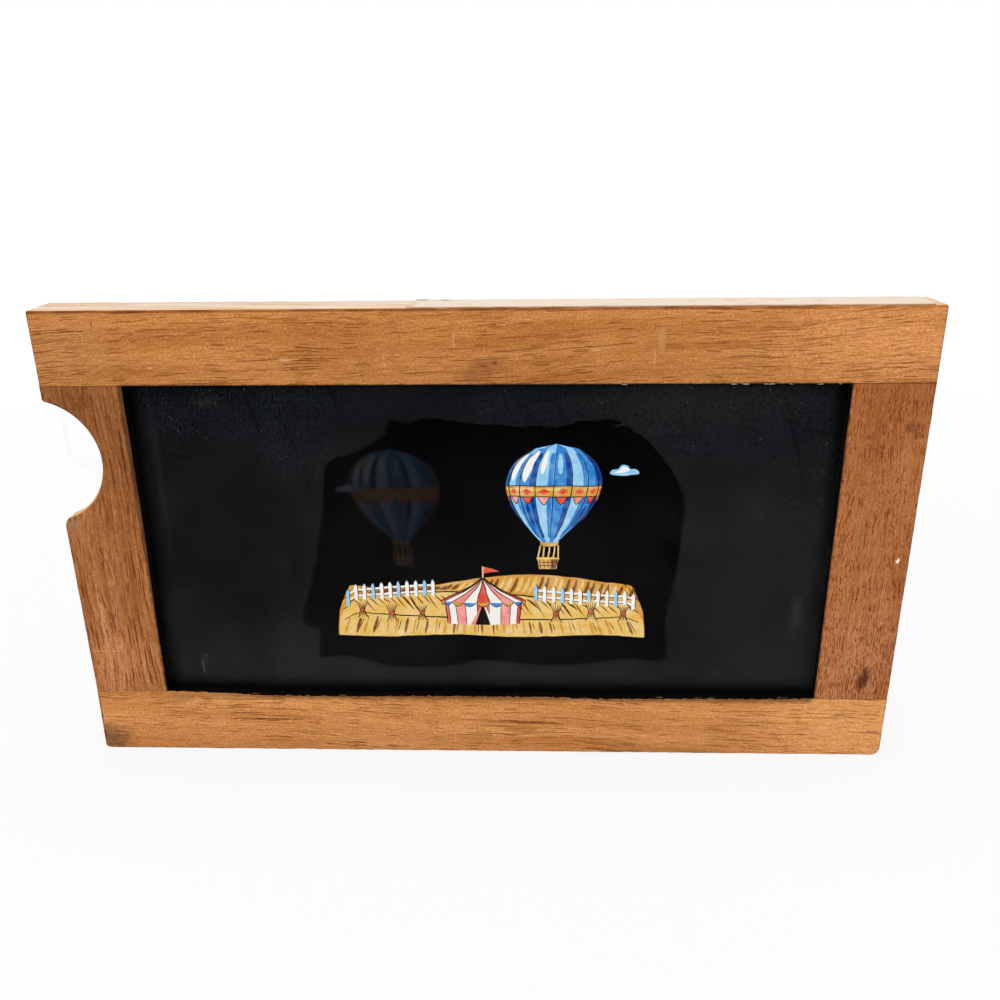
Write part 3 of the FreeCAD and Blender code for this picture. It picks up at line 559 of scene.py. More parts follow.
def glass_paint(name, tint, body, streak):
    """Clear colour on glass, laid by brush: light comes through both of its faces, and a little body shows."""
    finish = Finish(bpy.data.materials.new(name))
    place = finish.place()
    stroke = finish.noise(place, streak, detail=3.0, distortion=0.8)
    pool = finish.noise(place, (0.35, 0.35, 0.35), detail=2.0, distortion=0.5)
    once = tuple(level ** 0.5 for level in tint)
    thick = tuple(level ** 1.3 for level in once)
    thin = tuple(1 - (1 - level) * 0.66 for level in once)
    colour = finish.mix(finish.reach(stroke, 0.32, 0.68), once, thick)
    colour = finish.mix(finish.reach(pool, 0.42, 0.72, 0.0, 0.75), colour, thin)
    through = finish.add("BsdfTransparent", {"Color": colour})
    laid = finish.add("BsdfPrincipled", {"Base Color": colour, "Roughness": 0.5, "Specular IOR Level": 0.2})
    return finish.surface(finish.blend(body, through, laid))


def aged_paper(name, paper):
    """Pasted paper: fibres, foxing, a browner rim at its cut edges, and painted shadows at the back edge of its loose
    end.
    """
    finish = Finish(bpy.data.materials.new(name))
    place = finish.place()
    along, depth, _ = finish.split(place)
    fibre = finish.noise(place, (1.2, 4.0, 4.0), detail=4.0)
    colour = finish.mix(finish.reach(fibre, 0.3, 0.7), paper, scaled(paper, 0.84))
    fox = finish.noise(place, (0.22, 0.4, 0.4), detail=3.0, shift=(8, 1, 3))
    colour = finish.mix(finish.reach(fox, 0.58, 0.72, 0.0, 0.5), colour, linear(186, 146, 104))
    rim = finish.most(finish.reach(depth, STRIP_LOW.y + 0.45, STRIP_LOW.y),
                      finish.reach(depth, STRIP_HIGH.y - 0.45, STRIP_HIGH.y),
                      finish.reach(along, STRIP_LOW.x + 1.6, STRIP_LOW.x))
    rim = finish.times(rim, finish.reach(fox, 0.3, 0.6, 0.2, 0.7))
    colour = finish.mix(rim, colour, linear(176, 132, 90))
    # Painted shadows: two dark patches at the back edge near the loose end stand for the shade under the lifted paper.
    lift_shadows = [((x, STRIP_HIGH.y, STRIP_HIGH.z), (1.8, 2.2, 2.0), linear(120, 96, 74), 0.8)
              for x in (STRIP_LOW.x + 2.0, STRIP_LOW.x + 6.4)]
    colour = finish.mark(colour, place, finish.reach(fox, 0.3, 0.7, -0.3, 0.3), lift_shadows)
    return finish.coat(colour, 0.8, 0.15, finish.bump(fibre, 0.03, 0.6))


def grey_card(name, card):
    """Grey-brown pressed card."""
    finish = Finish(bpy.data.materials.new(name))
    pulp = finish.noise(finish.place(), (1.5, 1.5, 1.5), detail=5.0, roughness=0.65)
    colour = finish.mix(finish.reach(pulp, 0.3, 0.7), scaled(card, 0.75), scaled(card, 1.2))
    return finish.coat(colour, 0.9, 0.1, finish.bump(pulp, 0.04, 0.6))


def old_metal(name, metal, tarnish, shine):
    """Pin metal with tarnish in patches."""
    finish = Finish(bpy.data.materials.new(name))
    patch = finish.noise(finish.place(), (1.4, 1.4, 1.4), detail=4.0, roughness=0.6)
    share = finish.reach(patch, 0.38, 0.66)
    feeds = {"Base Color": finish.mix(share, metal, tarnish), "Metallic": finish.reach(share, 0.0, 1.0, 1.0, 0.35),
             "Roughness": finish.reach(share, 0.0, 1.0, shine, shine + 0.35), "Normal": finish.bump(patch, 0.03, 0.5)}
    return finish.surface(finish.add("BsdfPrincipled", feeds))


def clear_selection():
    if bpy.context.object is not None and bpy.context.object.mode != "OBJECT":
        bpy.ops.object.mode_set(mode="OBJECT")
    bpy.ops.object.select_all(action="DESELECT")


def hold(piece):
    """Makes a piece the only one selected."""
    clear_selection()
    piece.select_set(True)
    bpy.context.view_layer.objects.active = piece
    return piece


def name_new(name):
    piece = bpy.context.object
    bpy.ops.object.transform_apply(location=True, rotation=True, scale=True)
    piece.name = piece.data.name = name
    return piece


def add_block(name, low, high):
    """A cube stretched between two corners."""
    clear_selection()
    low, high = Vector(low) * MM, Vector(high) * MM
    bpy.ops.mesh.primitive_cube_add(size=1.0, location=(low + high) / 2, scale=high - low)
    return name_new(name)


def add_rod(name, foot, radius, height, sides=32, turn=UPRIGHT):
    """A cylinder that stands on its foot, up Z or laid along X."""
    clear_selection()
    rise = (0, 0, height / 2) if turn == UPRIGHT else (height / 2, 0, 0)
    bpy.ops.mesh.primitive_cylinder_add(vertices=sides, radius=radius * MM, depth=height * MM,
                                        location=(Vector(foot) + Vector(rise)) * MM, rotation=turn)
    return name_new(name)


def add_plate(name, outline, front, back):
    """A circle drawn out to an outline of (x, z) corners, then extruded from front to back."""
    clear_selection()
    bpy.ops.mesh.primitive_circle_add(vertices=len(outline), radius=1.0, fill_type="NGON")
    plate = name_new(name)
    work(plate, "VERT")
    mesh = bmesh.from_edit_mesh(plate.data)
    for corner, (x, z) in zip(mesh.verts, outline):
        corner.co = Vector((x, front, z)) * MM
    bmesh.update_edit_mesh(plate.data)
    bpy.ops.mesh.select_all(action="SELECT")
    bpy.ops.mesh.extrude_region_move(TRANSFORM_OT_translate={"value": (0, (back - front) * MM, 0)})
    bpy.ops.mesh.select_all(action="SELECT")
    bpy.ops.mesh.normals_make_consistent(inside=False)
    bpy.ops.object.mode_set(mode="OBJECT")
    return plate


def work(piece, kind="FACE"):
    """Opens a piece in edit mode with nothing selected."""
    hold(piece)
    bpy.ops.object.mode_set(mode="EDIT")
    bpy.ops.mesh.select_mode(type=kind)
    bpy.ops.mesh.select_all(action="DESELECT")


def pick(piece, kind, test):
    """Selects only those faces, edges or verts whose place passes a test, and says how many."""
    bpy.ops.mesh.select_mode(type={"faces": "FACE", "edges": "EDGE", "verts": "VERT"}[kind])
    bpy.ops.mesh.select_all(action="DESELECT")
    mesh = bmesh.from_edit_mesh(piece.data)
    found = 0
    for item in getattr(mesh, kind):
        if test(item):
            item.select_set(True)
            found += 1
    mesh.select_flush_mode()
    bmesh.update_edit_mesh(piece.data)
    return found


def close(first, second):
    return abs(first - second) < NEAR


def lies(a, b, **places):
    """Whether both ends of an edge lie at the given places."""
    return all(close(getattr(end, axis), place) for axis, place in places.items() for end in (a, b))


def middle_of(face):
    return face.calc_center_median() / MM


def ends_of(edge):
    return [corner.co / MM for corner in edge.verts]


def draw_out(piece, test, move):
    """Extrudes the faces that pass a test."""
    if not pick(piece, "faces", test):
        raise RuntimeError(f"{piece.name}: there is no face to draw out")
    bpy.ops.mesh.extrude_region_move(TRANSFORM_OT_translate={"value": Vector(move) * MM})


def cut_at(axis, place):
    """Cuts the whole open piece by a plane across an axis."""
    bpy.ops.mesh.select_all(action="SELECT")
    normal = [float(axis == name) for name in "XYZ"]
    bpy.ops.mesh.bisect(plane_co=[n * place * MM for n in normal], plane_no=normal)


def ease(piece, test, radius, segments=3):
    """Rounds the edges that pass a test of their two ends."""
    if not pick(piece, "edges", lambda edge: test(*ends_of(edge))):
        raise RuntimeError(f"{piece.name}: there is no edge to ease")
    bpy.ops.mesh.bevel(offset=radius, segments=segments, affect="EDGES", clamp_overlap=True)


def divide(piece, axis, longest, cuts):
    """Subdivides the edges that run further than this along an axis."""
    pick(piece, "edges", lambda edge: abs(getattr(edge.verts[0].co - edge.verts[1].co, axis)) > longest * MM)
    bpy.ops.mesh.subdivide(number_cuts=cuts)


def tidy_flats():
    """Takes out the edges between faces in one plane."""
    bpy.ops.mesh.select_all(action="SELECT")
    bpy.ops.mesh.remove_doubles(threshold=0.002 * MM)
    bpy.ops.mesh.dissolve_limited(angle_limit=math.radians(0.5))


def apply_modifier(piece, kind, **settings):
    hold(piece)
    bpy.ops.object.modifier_add(type=kind)
    modifier = piece.modifiers[-1]
    for key, setting in settings.items():
        setattr(modifier, key, setting)
    bpy.ops.object.modifier_apply(modifier=modifier.name)


def bore(piece, cutters):
    """Takes the cutters out of a piece."""
    for cutter in cutters:
        apply_modifier(piece, "BOOLEAN", operation="DIFFERENCE", object=cutter, solver="EXACT")
        bpy.data.objects.remove(cutter)


def wear(piece, test, seed, wave=5.0):
    """Lets the worn edges wander a little, along waves of about this many millimetres."""
    work(piece, "VERT")
    pick(piece, "verts", lambda corner: test(corner.co / MM))
    piece.vertex_groups.new(name="worn")
    bpy.ops.object.vertex_group_assign()
    bpy.ops.object.mode_set(mode="OBJECT")
    texture = bpy.data.textures.new(f"{piece.name}_wear", "CLOUDS")
    texture.noise_scale = wave * MM
    texture.noise_depth = 3
    apply_modifier(piece, "DISPLACE", texture=texture, texture_coords="LOCAL", vertex_group="worn", mid_level=0.5,
                   strength=sizes().edge_stray, direction="NORMAL")
    grain = sizes().edge_stray / MM * 0.15
    nudge(piece, lambda p: test(p) * grain * noise.noise_vector(p * 5.0 + Vector((seed, seed, seed))))


def nudge(piece, move):
    """Moves each vert by what a rule gives for its place."""
    work(piece, "VERT")
    mesh = bmesh.from_edit_mesh(piece.data)
    for corner in mesh.verts:
        corner.co += Vector(move(corner.co / MM)) * MM
    bmesh.update_edit_mesh(piece.data)
    bpy.ops.object.mode_set(mode="OBJECT")


def ramp(value, start, stop):
    """0 before the start and 1 past the stop, eased between them."""
    share = max(0.0, min(1.0, (value - start) / (stop - start)))
    return share * share * (3 - 2 * share)


def dress(piece, finish, body, slot, *nodes, angle=38):
    """Gives a piece its finish, and puts it on its body in place of the CAD nodes."""
    hold(piece)
    if finish is not None:
        piece.data.materials.clear()
        piece.data.materials.append(finish)
    bpy.ops.object.shade_smooth_by_angle(angle=math.radians(angle))
    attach(piece, body)
    if nodes:
        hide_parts(*nodes)
    clear_selection()
    return piece


def lip_rise(x):
    """How far the worn lower lip stands above its drawn height: a slow wander, then ragged tears."""
    for (start, low), (stop, high) in zip(LIP_WANDER, LIP_WANDER[1:]):
        if start <= x < stop:
            wander = low + (high - low) * ramp(x, start, stop)
    torn = ramp(abs(x - (OPENING_LEFT + OPENING_RIGHT) / 2), 73.0, 70.0)
    tears = 0.2 * noise.noise(Vector((x * 0.8, 3.0, 1.0))) + 0.36 * noise.noise(Vector((x * 2.3, 9.0, 4.0)))
    return STILE_RISE * ramp(x, -45.0, OPENING_LEFT) + wander + torn * tears


def shape_rail(name, outer, lip, rebate, left_round, right_round):
    """A rail's front leaf, drawn back outside the rebate, with worn corners and edges."""
    rail = add_block(name, (LEFT_END, FRONT, min(outer, lip)), (RIGHT_END, PANE_FRONT, max(outer, lip)))
    work(rail)
    cut_at("Z", rebate)
    outside = (outer + rebate) / 2
    draw_out(rail, lambda face: face.normal.y > 0.9 and abs(middle_of(face).z - outside) < 1,
             (0, BACK - PANE_FRONT, 0))
    tidy_flats()
    for end, radius in ((LEFT_END, left_round), (RIGHT_END, right_round)):
        ease(rail, lambda a, b: lies(a, b, x=end, z=outer), radius * MM, 6)
    for face in (FRONT, BACK):
        ease(rail, lambda a, b: lies(a, b, y=face) and not (close(a.z, b.z) and abs(a.z - outer) > 8),
             sizes().outer_easing)
    ease(rail, lambda a, b: lies(a, b, y=FRONT, z=lip), sizes().opening_easing, 2)
    for longest, cuts in ((100.0, 100), (1.0, 2)):
        divide(rail, "x", longest, cuts)
    bpy.ops.object.mode_set(mode="OBJECT")
    return rail


def bore_holes(rail, outer, inward, holes):
    """Sinks pin holes from a rail's outer edge: a recess for each head and a hole for its shank."""
    cutters = []
    for x, y, head, depth, shank in holes:
        for radius, reach in ((head, depth), (shank, abs(ROOF - TOP) + 0.5)):
            foot = outer - 0.5 if inward > 0 else outer - reach
            cutters.append(add_rod("cutter", (x, y, foot), radius, reach + 0.5))
    bore(rail, cutters)


def evenly(start, stop, steps):
    """Values spaced evenly from the start to the stop, both among them."""
    return [start + (stop - start) * i / steps for i in range(steps + 1)]


def arc(centre, radius, start, stop, steps):
    """Points round a circle, both ends among them."""
    return [centre + radius * Vector((math.cos(turn), math.sin(turn))) for turn in evenly(start, stop, steps)]


def notch_outline():
    """The finger notch from its horn round the hollow to its foot, closed outside the frame."""
    hollow = Vector((NOTCH_X, NOTCH_Z))
    rounds = []
    for radius, side in ((HORN_ROUND, 1), (FOOT_ROUND, -1)):
        rise = math.sqrt((NOTCH_RADIUS + radius) ** 2 - (LEFT_END + radius - NOTCH_X) ** 2)
        centre = Vector((LEFT_END + radius, NOTCH_Z + side * rise))
        toward = hollow - centre
        rounds.append((centre, math.atan2(toward.y, toward.x), math.atan2(-toward.y, -toward.x)))
    (horn, horn_stop, horn_turn), (foot, foot_start, foot_turn) = rounds
    points = arc(horn, HORN_ROUND, -math.pi, horn_stop, 6)
    points += arc(hollow, NOTCH_RADIUS, horn_turn, foot_turn, 40)[1:-1]
    points += arc(foot, FOOT_ROUND, foot_start, math.pi, 10)
    points = [(p.x, p.y) for p in points]
    return points + [(LEFT_END - 4, points[-1][1]), (LEFT_END - 4, points[0][1])]


def bead_holes(bead, places, turn):
    """Recesses for the pin heads in a bead's inner edge."""
    bore(bead, [add_rod("cutter", place, BEAD_HEAD, BEAD_HEAD_DEPTH + BORE_PAST, 20, turn) for place in places])


def on_front(*rows):
    """Marks on the front face, from rows of (x, z, radii, colour, strength)."""
    return [((x, FRONT, z), radii, tint, strength) for x, z, radii, tint, strength in rows]


class SLIDE_OT_rails(bpy.types.Operator):
    """Shape the top and bottom rails with their rebates, pin holes and worn edges"""

    bl_idname = "slide.rails"
    bl_label = "Rails"

    def shape_top(self):
        rail = shape_rail("worn_top_rail", TOP, TOP_LIP, ROOF, 0.6, 0.6)
        bore_holes(rail, TOP, -1, [BRAD_HOLE])
        wear(rail, lambda p: p.z > TOP - WORN_BAND and not FRONT + WORN_DEPTH <= p.y <= BACK - WORN_DEPTH, 3)
        return rail

    def shape_bottom(self):
        def settle(p):
            """A longer left end, and the worn lip."""
            longer = 0.45 * ramp(p.x, -80.0, -86.5) * (0.3 + 0.7 * ramp(p.z, 15.0, 7.0))
            at_lip = p.z > BOTTOM_LIP - 0.5 and p.y < PANE_FRONT + 0.1
            return -longer, 0, at_lip * lip_rise(p.x)

        rail = shape_rail("worn_bottom_rail", 0.0, BOTTOM_LIP, FLOOR, 1.0, 1.8)
        bore_holes(rail, 0.0, 1, [BRAD_HOLE, STOP_HOLE])
        wear(rail, lambda p: p.z < WORN_BAND and not FRONT + WORN_DEPTH <= p.y <= BACK - WORN_DEPTH, 5)
        wear(rail, lambda p: p.z > BOTTOM_LIP - 0.3 and OPENING_LEFT + 1 < p.x < OPENING_RIGHT - 1, 8, 2.2)
        nudge(rail, settle)
        return rail

    def execute(self, context):
        wood, stain = colours().rail_wood, tuple(colours().iron_stain)
        grime, pale, knot = linear(88, 62, 48), linear(226, 178, 130), linear(128, 82, 54)
        pores = ((56.0, 0.72, 0.12, 0.4), (28.0, 0.52, 0.16, 0.4), (9.0, 0.42, 0.18, 0.34))
        tones = on_front((-82, 93, (14, 4, 10), linear(180, 124, 76), 0.5),
                         (-28, 94, (16, 4, 9), linear(166, 102, 52), 0.5),
                         (78, 95, (24, 4, 12), linear(216, 148, 90), 0.7))
        marks = on_front((-76.1, 98.7, (0.16, 2, 1.3), grime, 0.75), (-38.6, 91.6, (2.0, 3, 0.5), pale, 0.5),
                         (35.2, 95.5, (1.0, 3, 3.6), pale, 0.18), (-18.9, 91.5, (0.16, 3, 2.4), pale, 0.45),
                         (-5.1, 95.6, (0.2, 3, 2.6), pale, 0.4), (-65.7, 90.1, (0.7, 3, 0.3), pale, 0.5),
                         (22.6, 93.3, (1.3, 3, 0.4), pale, 0.4), (34.0, 92.0, (0.2, 3, 3.0), pale, 0.35),
                         (-2.2, 88.2, (4.2, 3, 1.8), knot, 0.5), (1.6, 90.6, (5.0, 3, 1.9), linear(134, 82, 50), 0.55),
                         (0.6, 90.2, (0.8, 3, 0.3), stain, 0.7), (2.9, 90.8, (0.7, 3, 0.35), stain, 0.7))
        finish = mahogany("top_rail_mahogany", "X", scaled(wood, 0.93, 0.945, 0.97), pores, tones, marks,
                          (UP, TOP_LIP, -1), top_grime_and_glare=True, tilt=0.045)
        dress(self.shape_top(), finish, "frame", "rail_mahogany", "top_rail")
        tones = on_front((80, 6, (24, 5, 14), linear(222, 158, 98), 0.7))
        marks = on_front((-87.6, 2.6, (6.4, 9, 5.0), grime, 0.66), (-70, 13.6, (4.0, 3, 1.5), linear(122, 92, 70), 0.4),
                         (-48.5, 8.3, (11, 3, 0.28), stain, 0.95), (8, 8.0, (11, 3, 0.28), stain, 0.9))
        finish = mahogany("bottom_rail_mahogany", "X", scaled(wood, 1.06, 1.15, 1.33), pores, tones, marks,
                          (UP, BOTTOM_LIP, 1), seed=53.0, faint=0.6, tilt=-0.045, spread=(1.5, 26.0))
        dress(self.shape_bottom(), finish, "frame", "rail_mahogany", "bottom_rail")
        return {"FINISHED"}


class SLIDE_OT_stiles(bpy.types.Operator):
    """Shape the plain right stile and the thin left stile with its finger notch"""

    bl_idname = "slide.stiles"
    bl_label = "Stiles"

    def shape_right(self):
        stile = add_block("worn_right_stile", (REBATE_WALL, PANE_FRONT, FLOOR), (RIGHT_END, BACK, ROOF))
        work(stile)
        cut_at("Z", BOTTOM_LIP)
        cut_at("Z", TOP_LIP)
        draw_out(stile, lambda face: face.normal.y < -0.9 and BOTTOM_LIP < middle_of(face).z < TOP_LIP,
                 (0, FRONT - PANE_FRONT, 0))
        draw_out(stile, lambda face: face.normal.x < -0.9 and middle_of(face).y < PANE_FRONT,
                 (OPENING_RIGHT - REBATE_WALL, 0, 0))
        tidy_flats()
        for face in (FRONT, BACK):
            ease(stile, lambda a, b: lies(a, b, y=face, x=RIGHT_END), sizes().outer_easing)
        ease(stile, lambda a, b: lies(a, b, y=FRONT, x=OPENING_RIGHT), sizes().opening_easing, 2)
        ease(stile, lambda a, b: lies(a, b, y=FRONT) and close(a.z, b.z), sizes().joint_easing, 1)
        divide(stile, "z", 50.0, 70)
        bpy.ops.object.mode_set(mode="OBJECT")
        wear(stile, lambda p: p.y < FRONT + WORN_DEPTH
             and not OPENING_RIGHT + 0.3 <= p.x <= RIGHT_END - WORN_BAND, 11)
        return stile

    def shape_left(self):
        stile = add_block("worn_left_stile", (LEFT_END, FRONT, BOTTOM_LIP), (OPENING_LEFT, PANE_FRONT, TOP_LIP))
        work(stile)
        cut_at("X", LAP_RIGHT)
        cut_at("Z", BOTTOM_LIP + LAP_LENGTH)
        cut_at("Z", TOP_LIP - LAP_LENGTH)
        draw_out(stile, lambda face: face.normal.y > 0.9 and middle_of(face).x < LAP_RIGHT
                 and abs(middle_of(face).z - (BOTTOM_LIP + TOP_LIP) / 2) > 30, (0, PANE_BACK - PANE_FRONT, 0))
        draw_out(stile, lambda face: face.normal.z > 0.9 and middle_of(face).y > PANE_FRONT
                 and middle_of(face).z > TOP_LIP - 1, (0, 0, ROOF - TOP_LIP))
        draw_out(stile, lambda face: face.normal.z < -0.9 and middle_of(face).y > PANE_FRONT
                 and middle_of(face).z < BOTTOM_LIP + 1, (0, 0, FLOOR - BOTTOM_LIP))
        tidy_flats()
        bpy.ops.object.mode_set(mode="OBJECT")
        bore(stile, [add_plate("cutter", notch_outline(), FRONT - 1, PANE_BACK + 1)])
        work(stile)
        tidy_flats()
        ease(stile, lambda a, b: lies(a, b, y=FRONT) and not close(a.z, b.z) and (a.x + b.x) / 2 < OPENING_LEFT - 1,
             sizes().outer_easing * 0.5, 2)
        ease(stile, lambda a, b: lies(a, b, y=FRONT, x=OPENING_LEFT), sizes().opening_easing, 2)
        for z in evenly(BOTTOM_LIP, TOP_LIP, STILE_CUTS)[1:-1]:
            cut_at("Z", z)
        bpy.ops.object.mode_set(mode="OBJECT")
        wear(stile, lambda p: p.y < FRONT + 0.4 and (p.x < LEFT_END + 0.4 or p.x > OPENING_LEFT - 0.4), 13)
        nudge(stile, lambda p: ((p.x > OPENING_LEFT - 0.5) * STILE_BOW * ramp(p.z, 32.0, 58.0), 0,
                                (p.y < PANE_FRONT + 0.1 and p.z < BOTTOM_LIP + 0.1) * STILE_RISE))
        return stile

    def execute(self, context):
        wood, stain = colours().stile_wood, tuple(colours().iron_stain)
        grime, pale, chip = linear(96, 58, 38), linear(208, 152, 108), linear(250, 240, 225)
        joint, rust = linear(78, 46, 26), linear(84, 42, 28)
        pores = ((14.0, 0.56, 0.16, 0.42), (5.0, 0.46, 0.18, 0.55), (2.4, 0.4, 0.2, 0.5))
        # The first tone, paler and pinker low on the stile, is a painted sheen.
        tones = on_front((81, 26, (14, 4, 18), linear(180, 120, 80), 0.6),
                         (81, 84, (14, 4, 16), linear(148, 86, 42), 0.6))
        marks = on_front((80, BOTTOM_LIP, (40, 4, 0.2), joint, 0.75), (80, TOP_LIP, (40, 4, 0.2), joint, 0.8),
                         (82.75, 19.8, (1.9, 4, 3.6), stain, 0.6), (82.2, 18.7, (1.1, 4, 2.4), rust, 0.8),
                         (82.9, 19.7, (1.2, 4, 2.9), rust, 0.7), (83.2, 21.4, (0.7, 4, 1.8), rust, 0.8),
                         (77.5, 18.6, (1.6, 3, 0.9), grime, 0.5), (72.7, 79.8, (0.45, 3, 1.3), joint, 0.9),
                         (72.75, 69.3, (0.55, 3, 1.6), joint, 0.95), (72.6, 66.6, (0.5, 3, 2.2), joint, 0.9),
                         (86.3, 77.0, (2.4, 3, 2.2), grime, 0.4), (78.5, 75, (2.0, 3, 9), linear(120, 66, 34), 0.35),
                         (86.4, 48.3, (0.42, 1.5, 0.42), chip, 1.0), (86.6, 48.7, (0.3, 1.5, 0.5), chip, 1.0))
        finish = mahogany("right_stile_mahogany", "Z", tuple(wood), pores, tones, marks, (ALONG, OPENING_RIGHT, -1),
                          seed=17.0, faint=0.7, stripes=0.1)
        dress(self.shape_right(), finish, "frame", "stile_mahogany", "right_stile")
        pores = ((22.0, 0.8, 0.16, 0.66), (10.0, 0.56, 0.2, 0.6), (44.0, 1.2, 0.12, 0.45))
        tones = on_front((-83, 84.5, (7, 4, 5), grime, 0.4), (-78, 76, (13, 4, 30), linear(122, 72, 36), 0.6),
                         (-82, 24, (10, 4, 12), linear(184, 122, 76), 0.6), (-84.6, 34, (0.8, 4, 18), pale, 0.5),
                         (-81.4, 38, (0.6, 4, 20), pale, 0.4))
        marks = on_front((-80, BOTTOM_LIP, (40, 4, 0.2), joint, 0.45), (-80, TOP_LIP, (40, 4, 0.2), joint, 0.5),
                         (-74.05, 72, (0.36, 3, 9.5), linear(78, 42, 20), 0.95),
                         (-87.5, 56.5, (2.2, 3, 2.0), linear(142, 112, 92), 0.45),
                         (-83.6, 25.8, (5.5, 3, 0.22), pale, 0.5))
        finish = mahogany("left_stile_mahogany", "Z", scaled(wood, 0.88, 0.92, 0.88), pores, tones, marks,
                          (ALONG, OPENING_LEFT, 1), notched=True, seed=89.0, faint=0.65, stripes=0.24)
        dress(self.shape_left(), finish, "frame", "stile_mahogany", "left_stile")
        return {"FINISHED"}


class SLIDE_OT_splinters(bpy.types.Operator):
    """Raise splinters along the lower lip and paper flecks under the upper one"""

    bl_idname = "slide.splinters"
    bl_label = "Splinters"

    def sliver(self, foot, lean, length, width, lift):
        """A flat cone drawn along the lip, its tip lifted off the wood."""
        clear_selection()
        bpy.ops.mesh.primitive_cone_add(vertices=5, radius1=width * MM, radius2=0.0, depth=length * MM,
                                        location=Vector(foot) * MM, rotation=(0, math.pi / 2 * lean, 0))
        piece = name_new("sliver")
        work(piece, "VERT")
        tip = foot[0] + lean * length / 2
        for corner in bmesh.from_edit_mesh(piece.data).verts:
            share = 1 - min(1.0, abs(corner.co.x / MM - tip) / length)
            corner.co.z += lift * MM * share ** 2
            corner.co.y -= lift * 0.6 * MM * share
        bpy.ops.object.mode_set(mode="OBJECT")
        return piece

    def execute(self, context):
        draw = random.Random(41)
        splinters, flecks = [], []
        for _ in range(SPLINTERS):
            x = draw.choice((draw.uniform(-70, 70), draw.uniform(-66, -30), draw.uniform(18, 50)))
            length = draw.uniform(0.5, 1.0) * sizes().splinter_length / MM
            foot = (x, FRONT + draw.uniform(0.15, 0.9), BOTTOM_LIP + lip_rise(x) - draw.uniform(0.0, 0.1))
            lean, width = draw.choice((-1, 1)), draw.uniform(0.05, 0.1)
            splinters.append(self.sliver(foot, lean, length, width, draw.uniform(0.04, 0.26)))
        for x in [draw.uniform(49.5, 57.5) for _ in range(9)] + [28.2, 61.0, 66.4, 70.5]:
            foot = (x, FRONT + draw.uniform(0.1, 0.5), TOP_LIP - draw.uniform(0.0, 0.15))
            lean, length = draw.choice((-1, 1)), draw.uniform(0.5, 1.3)
            flecks.append(self.sliver(foot, lean, length, draw.uniform(0.1, 0.2), FLECK_DROOP))
        wood = mahogany("splinter_mahogany", "X", linear(178, 128, 82), ((3.0, 0.4, 0.2, 0.3),))
        paper = aged_paper("fleck_paper", linear(244, 232, 212))
        for name, slivers, finish, slot in (("lip_splinters", splinters, wood, "rail_mahogany"),
                                            ("lip_flecks", flecks, paper, "title_paper")):
            hold(slivers[0])
            for sliver in slivers:
                sliver.select_set(True)
            bpy.ops.object.join()
            slivers[0].name = slivers[0].data.name = name
            dress(slivers[0], finish, "frame", slot)
        return {"FINISHED"}


class SLIDE_OT_beads(bpy.types.Operator):
    """Shape the four beads that close the rebate behind the glasses"""

    bl_idname = "slide.beads"
    bl_label = "Beads"

    def long_bead(self, name, inner, outer):
        bead = add_block(name, (LEFT_END, BEAD_FRONT, min(inner, outer)), (REBATE_WALL, BACK, max(inner, outer)))
        bore(bead, [add_block("cutter", (BEAD_LOW.x, BEAD_FRONT - 1, inner - BEAD_HOUSING),
                              (OPENING_LEFT, BACK + 1, inner + BEAD_HOUSING))])
        work(bead)
        tidy_flats()
        ease(bead, lambda a, b: lies(a, b, y=BACK, z=inner), BEAD_ROUND * MM, 5)
        divide(bead, "x", 100.0, 90)
        bpy.ops.object.mode_set(mode="OBJECT")
        foot = inner - BORE_PAST if outer > inner else inner - BEAD_HEAD_DEPTH
        bead_holes(bead, [(x, BEAD_PIN_Y, foot) for x in LONG_BEAD_PINS], UPRIGHT)
        wear(bead, lambda p: p.y > BACK - 0.75 and abs(p.z - inner) < BEAD_ROUND, 17)
        return bead

    def short_bead(self, name, left, right, low, high, inner):
        bead = add_block(name, (left, BEAD_FRONT, low), (right, BACK, high))
        work(bead)
        ease(bead, lambda a, b: lies(a, b, y=BACK, x=inner), BEAD_ROUND * MM, 5)
        divide(bead, "z", 50.0, 50)
        bpy.ops.object.mode_set(mode="OBJECT")
        return bead

    def execute(self, context):
        wood = tuple(colours().bead_wood)
        pores = ((16.0, 0.7, 0.17, 0.5), (7.0, 0.55, 0.18, 0.4))
        long_finish = mahogany("long_bead_mahogany", "X", wood, pores, seed=7.0)
        short_finish = mahogany("short_bead_mahogany", "Z", wood, pores, seed=29.0)
        top = self.long_bead("worn_top_bead", TOP_LIP, ROOF)
        dress(top, long_finish, "frame", "bead_mahogany", "top_bead")
        bottom = self.long_bead("worn_bottom_bead", BOTTOM_LIP, FLOOR)
        dress(bottom, long_finish, "frame", "bead_mahogany", "bottom_bead")
        left = self.short_bead("worn_left_bead", BEAD_LOW.x, OPENING_LEFT, BEAD_LOW.z, BEAD_HIGH.z, OPENING_LEFT)
        right = self.short_bead("worn_right_bead", OPENING_RIGHT, REBATE_WALL, BOTTOM_LIP, TOP_LIP, OPENING_RIGHT)
        bead_holes(right, [(OPENING_RIGHT - BORE_PAST, BEAD_PIN_Y, z) for z in RIGHT_BEAD_PINS], LAID)
        for bead, inner in ((left, OPENING_LEFT), (right, OPENING_RIGHT)):
            wear(bead, lambda p: p.y > BACK - 0.75 and abs(p.x - inner) < BEAD_ROUND, 19)
        dress(left, short_finish, "frame", "bead_mahogany", "left_bead")
        dress(right, short_finish, "frame", "bead_mahogany", "right_bead")
        return {"FINISHED"}


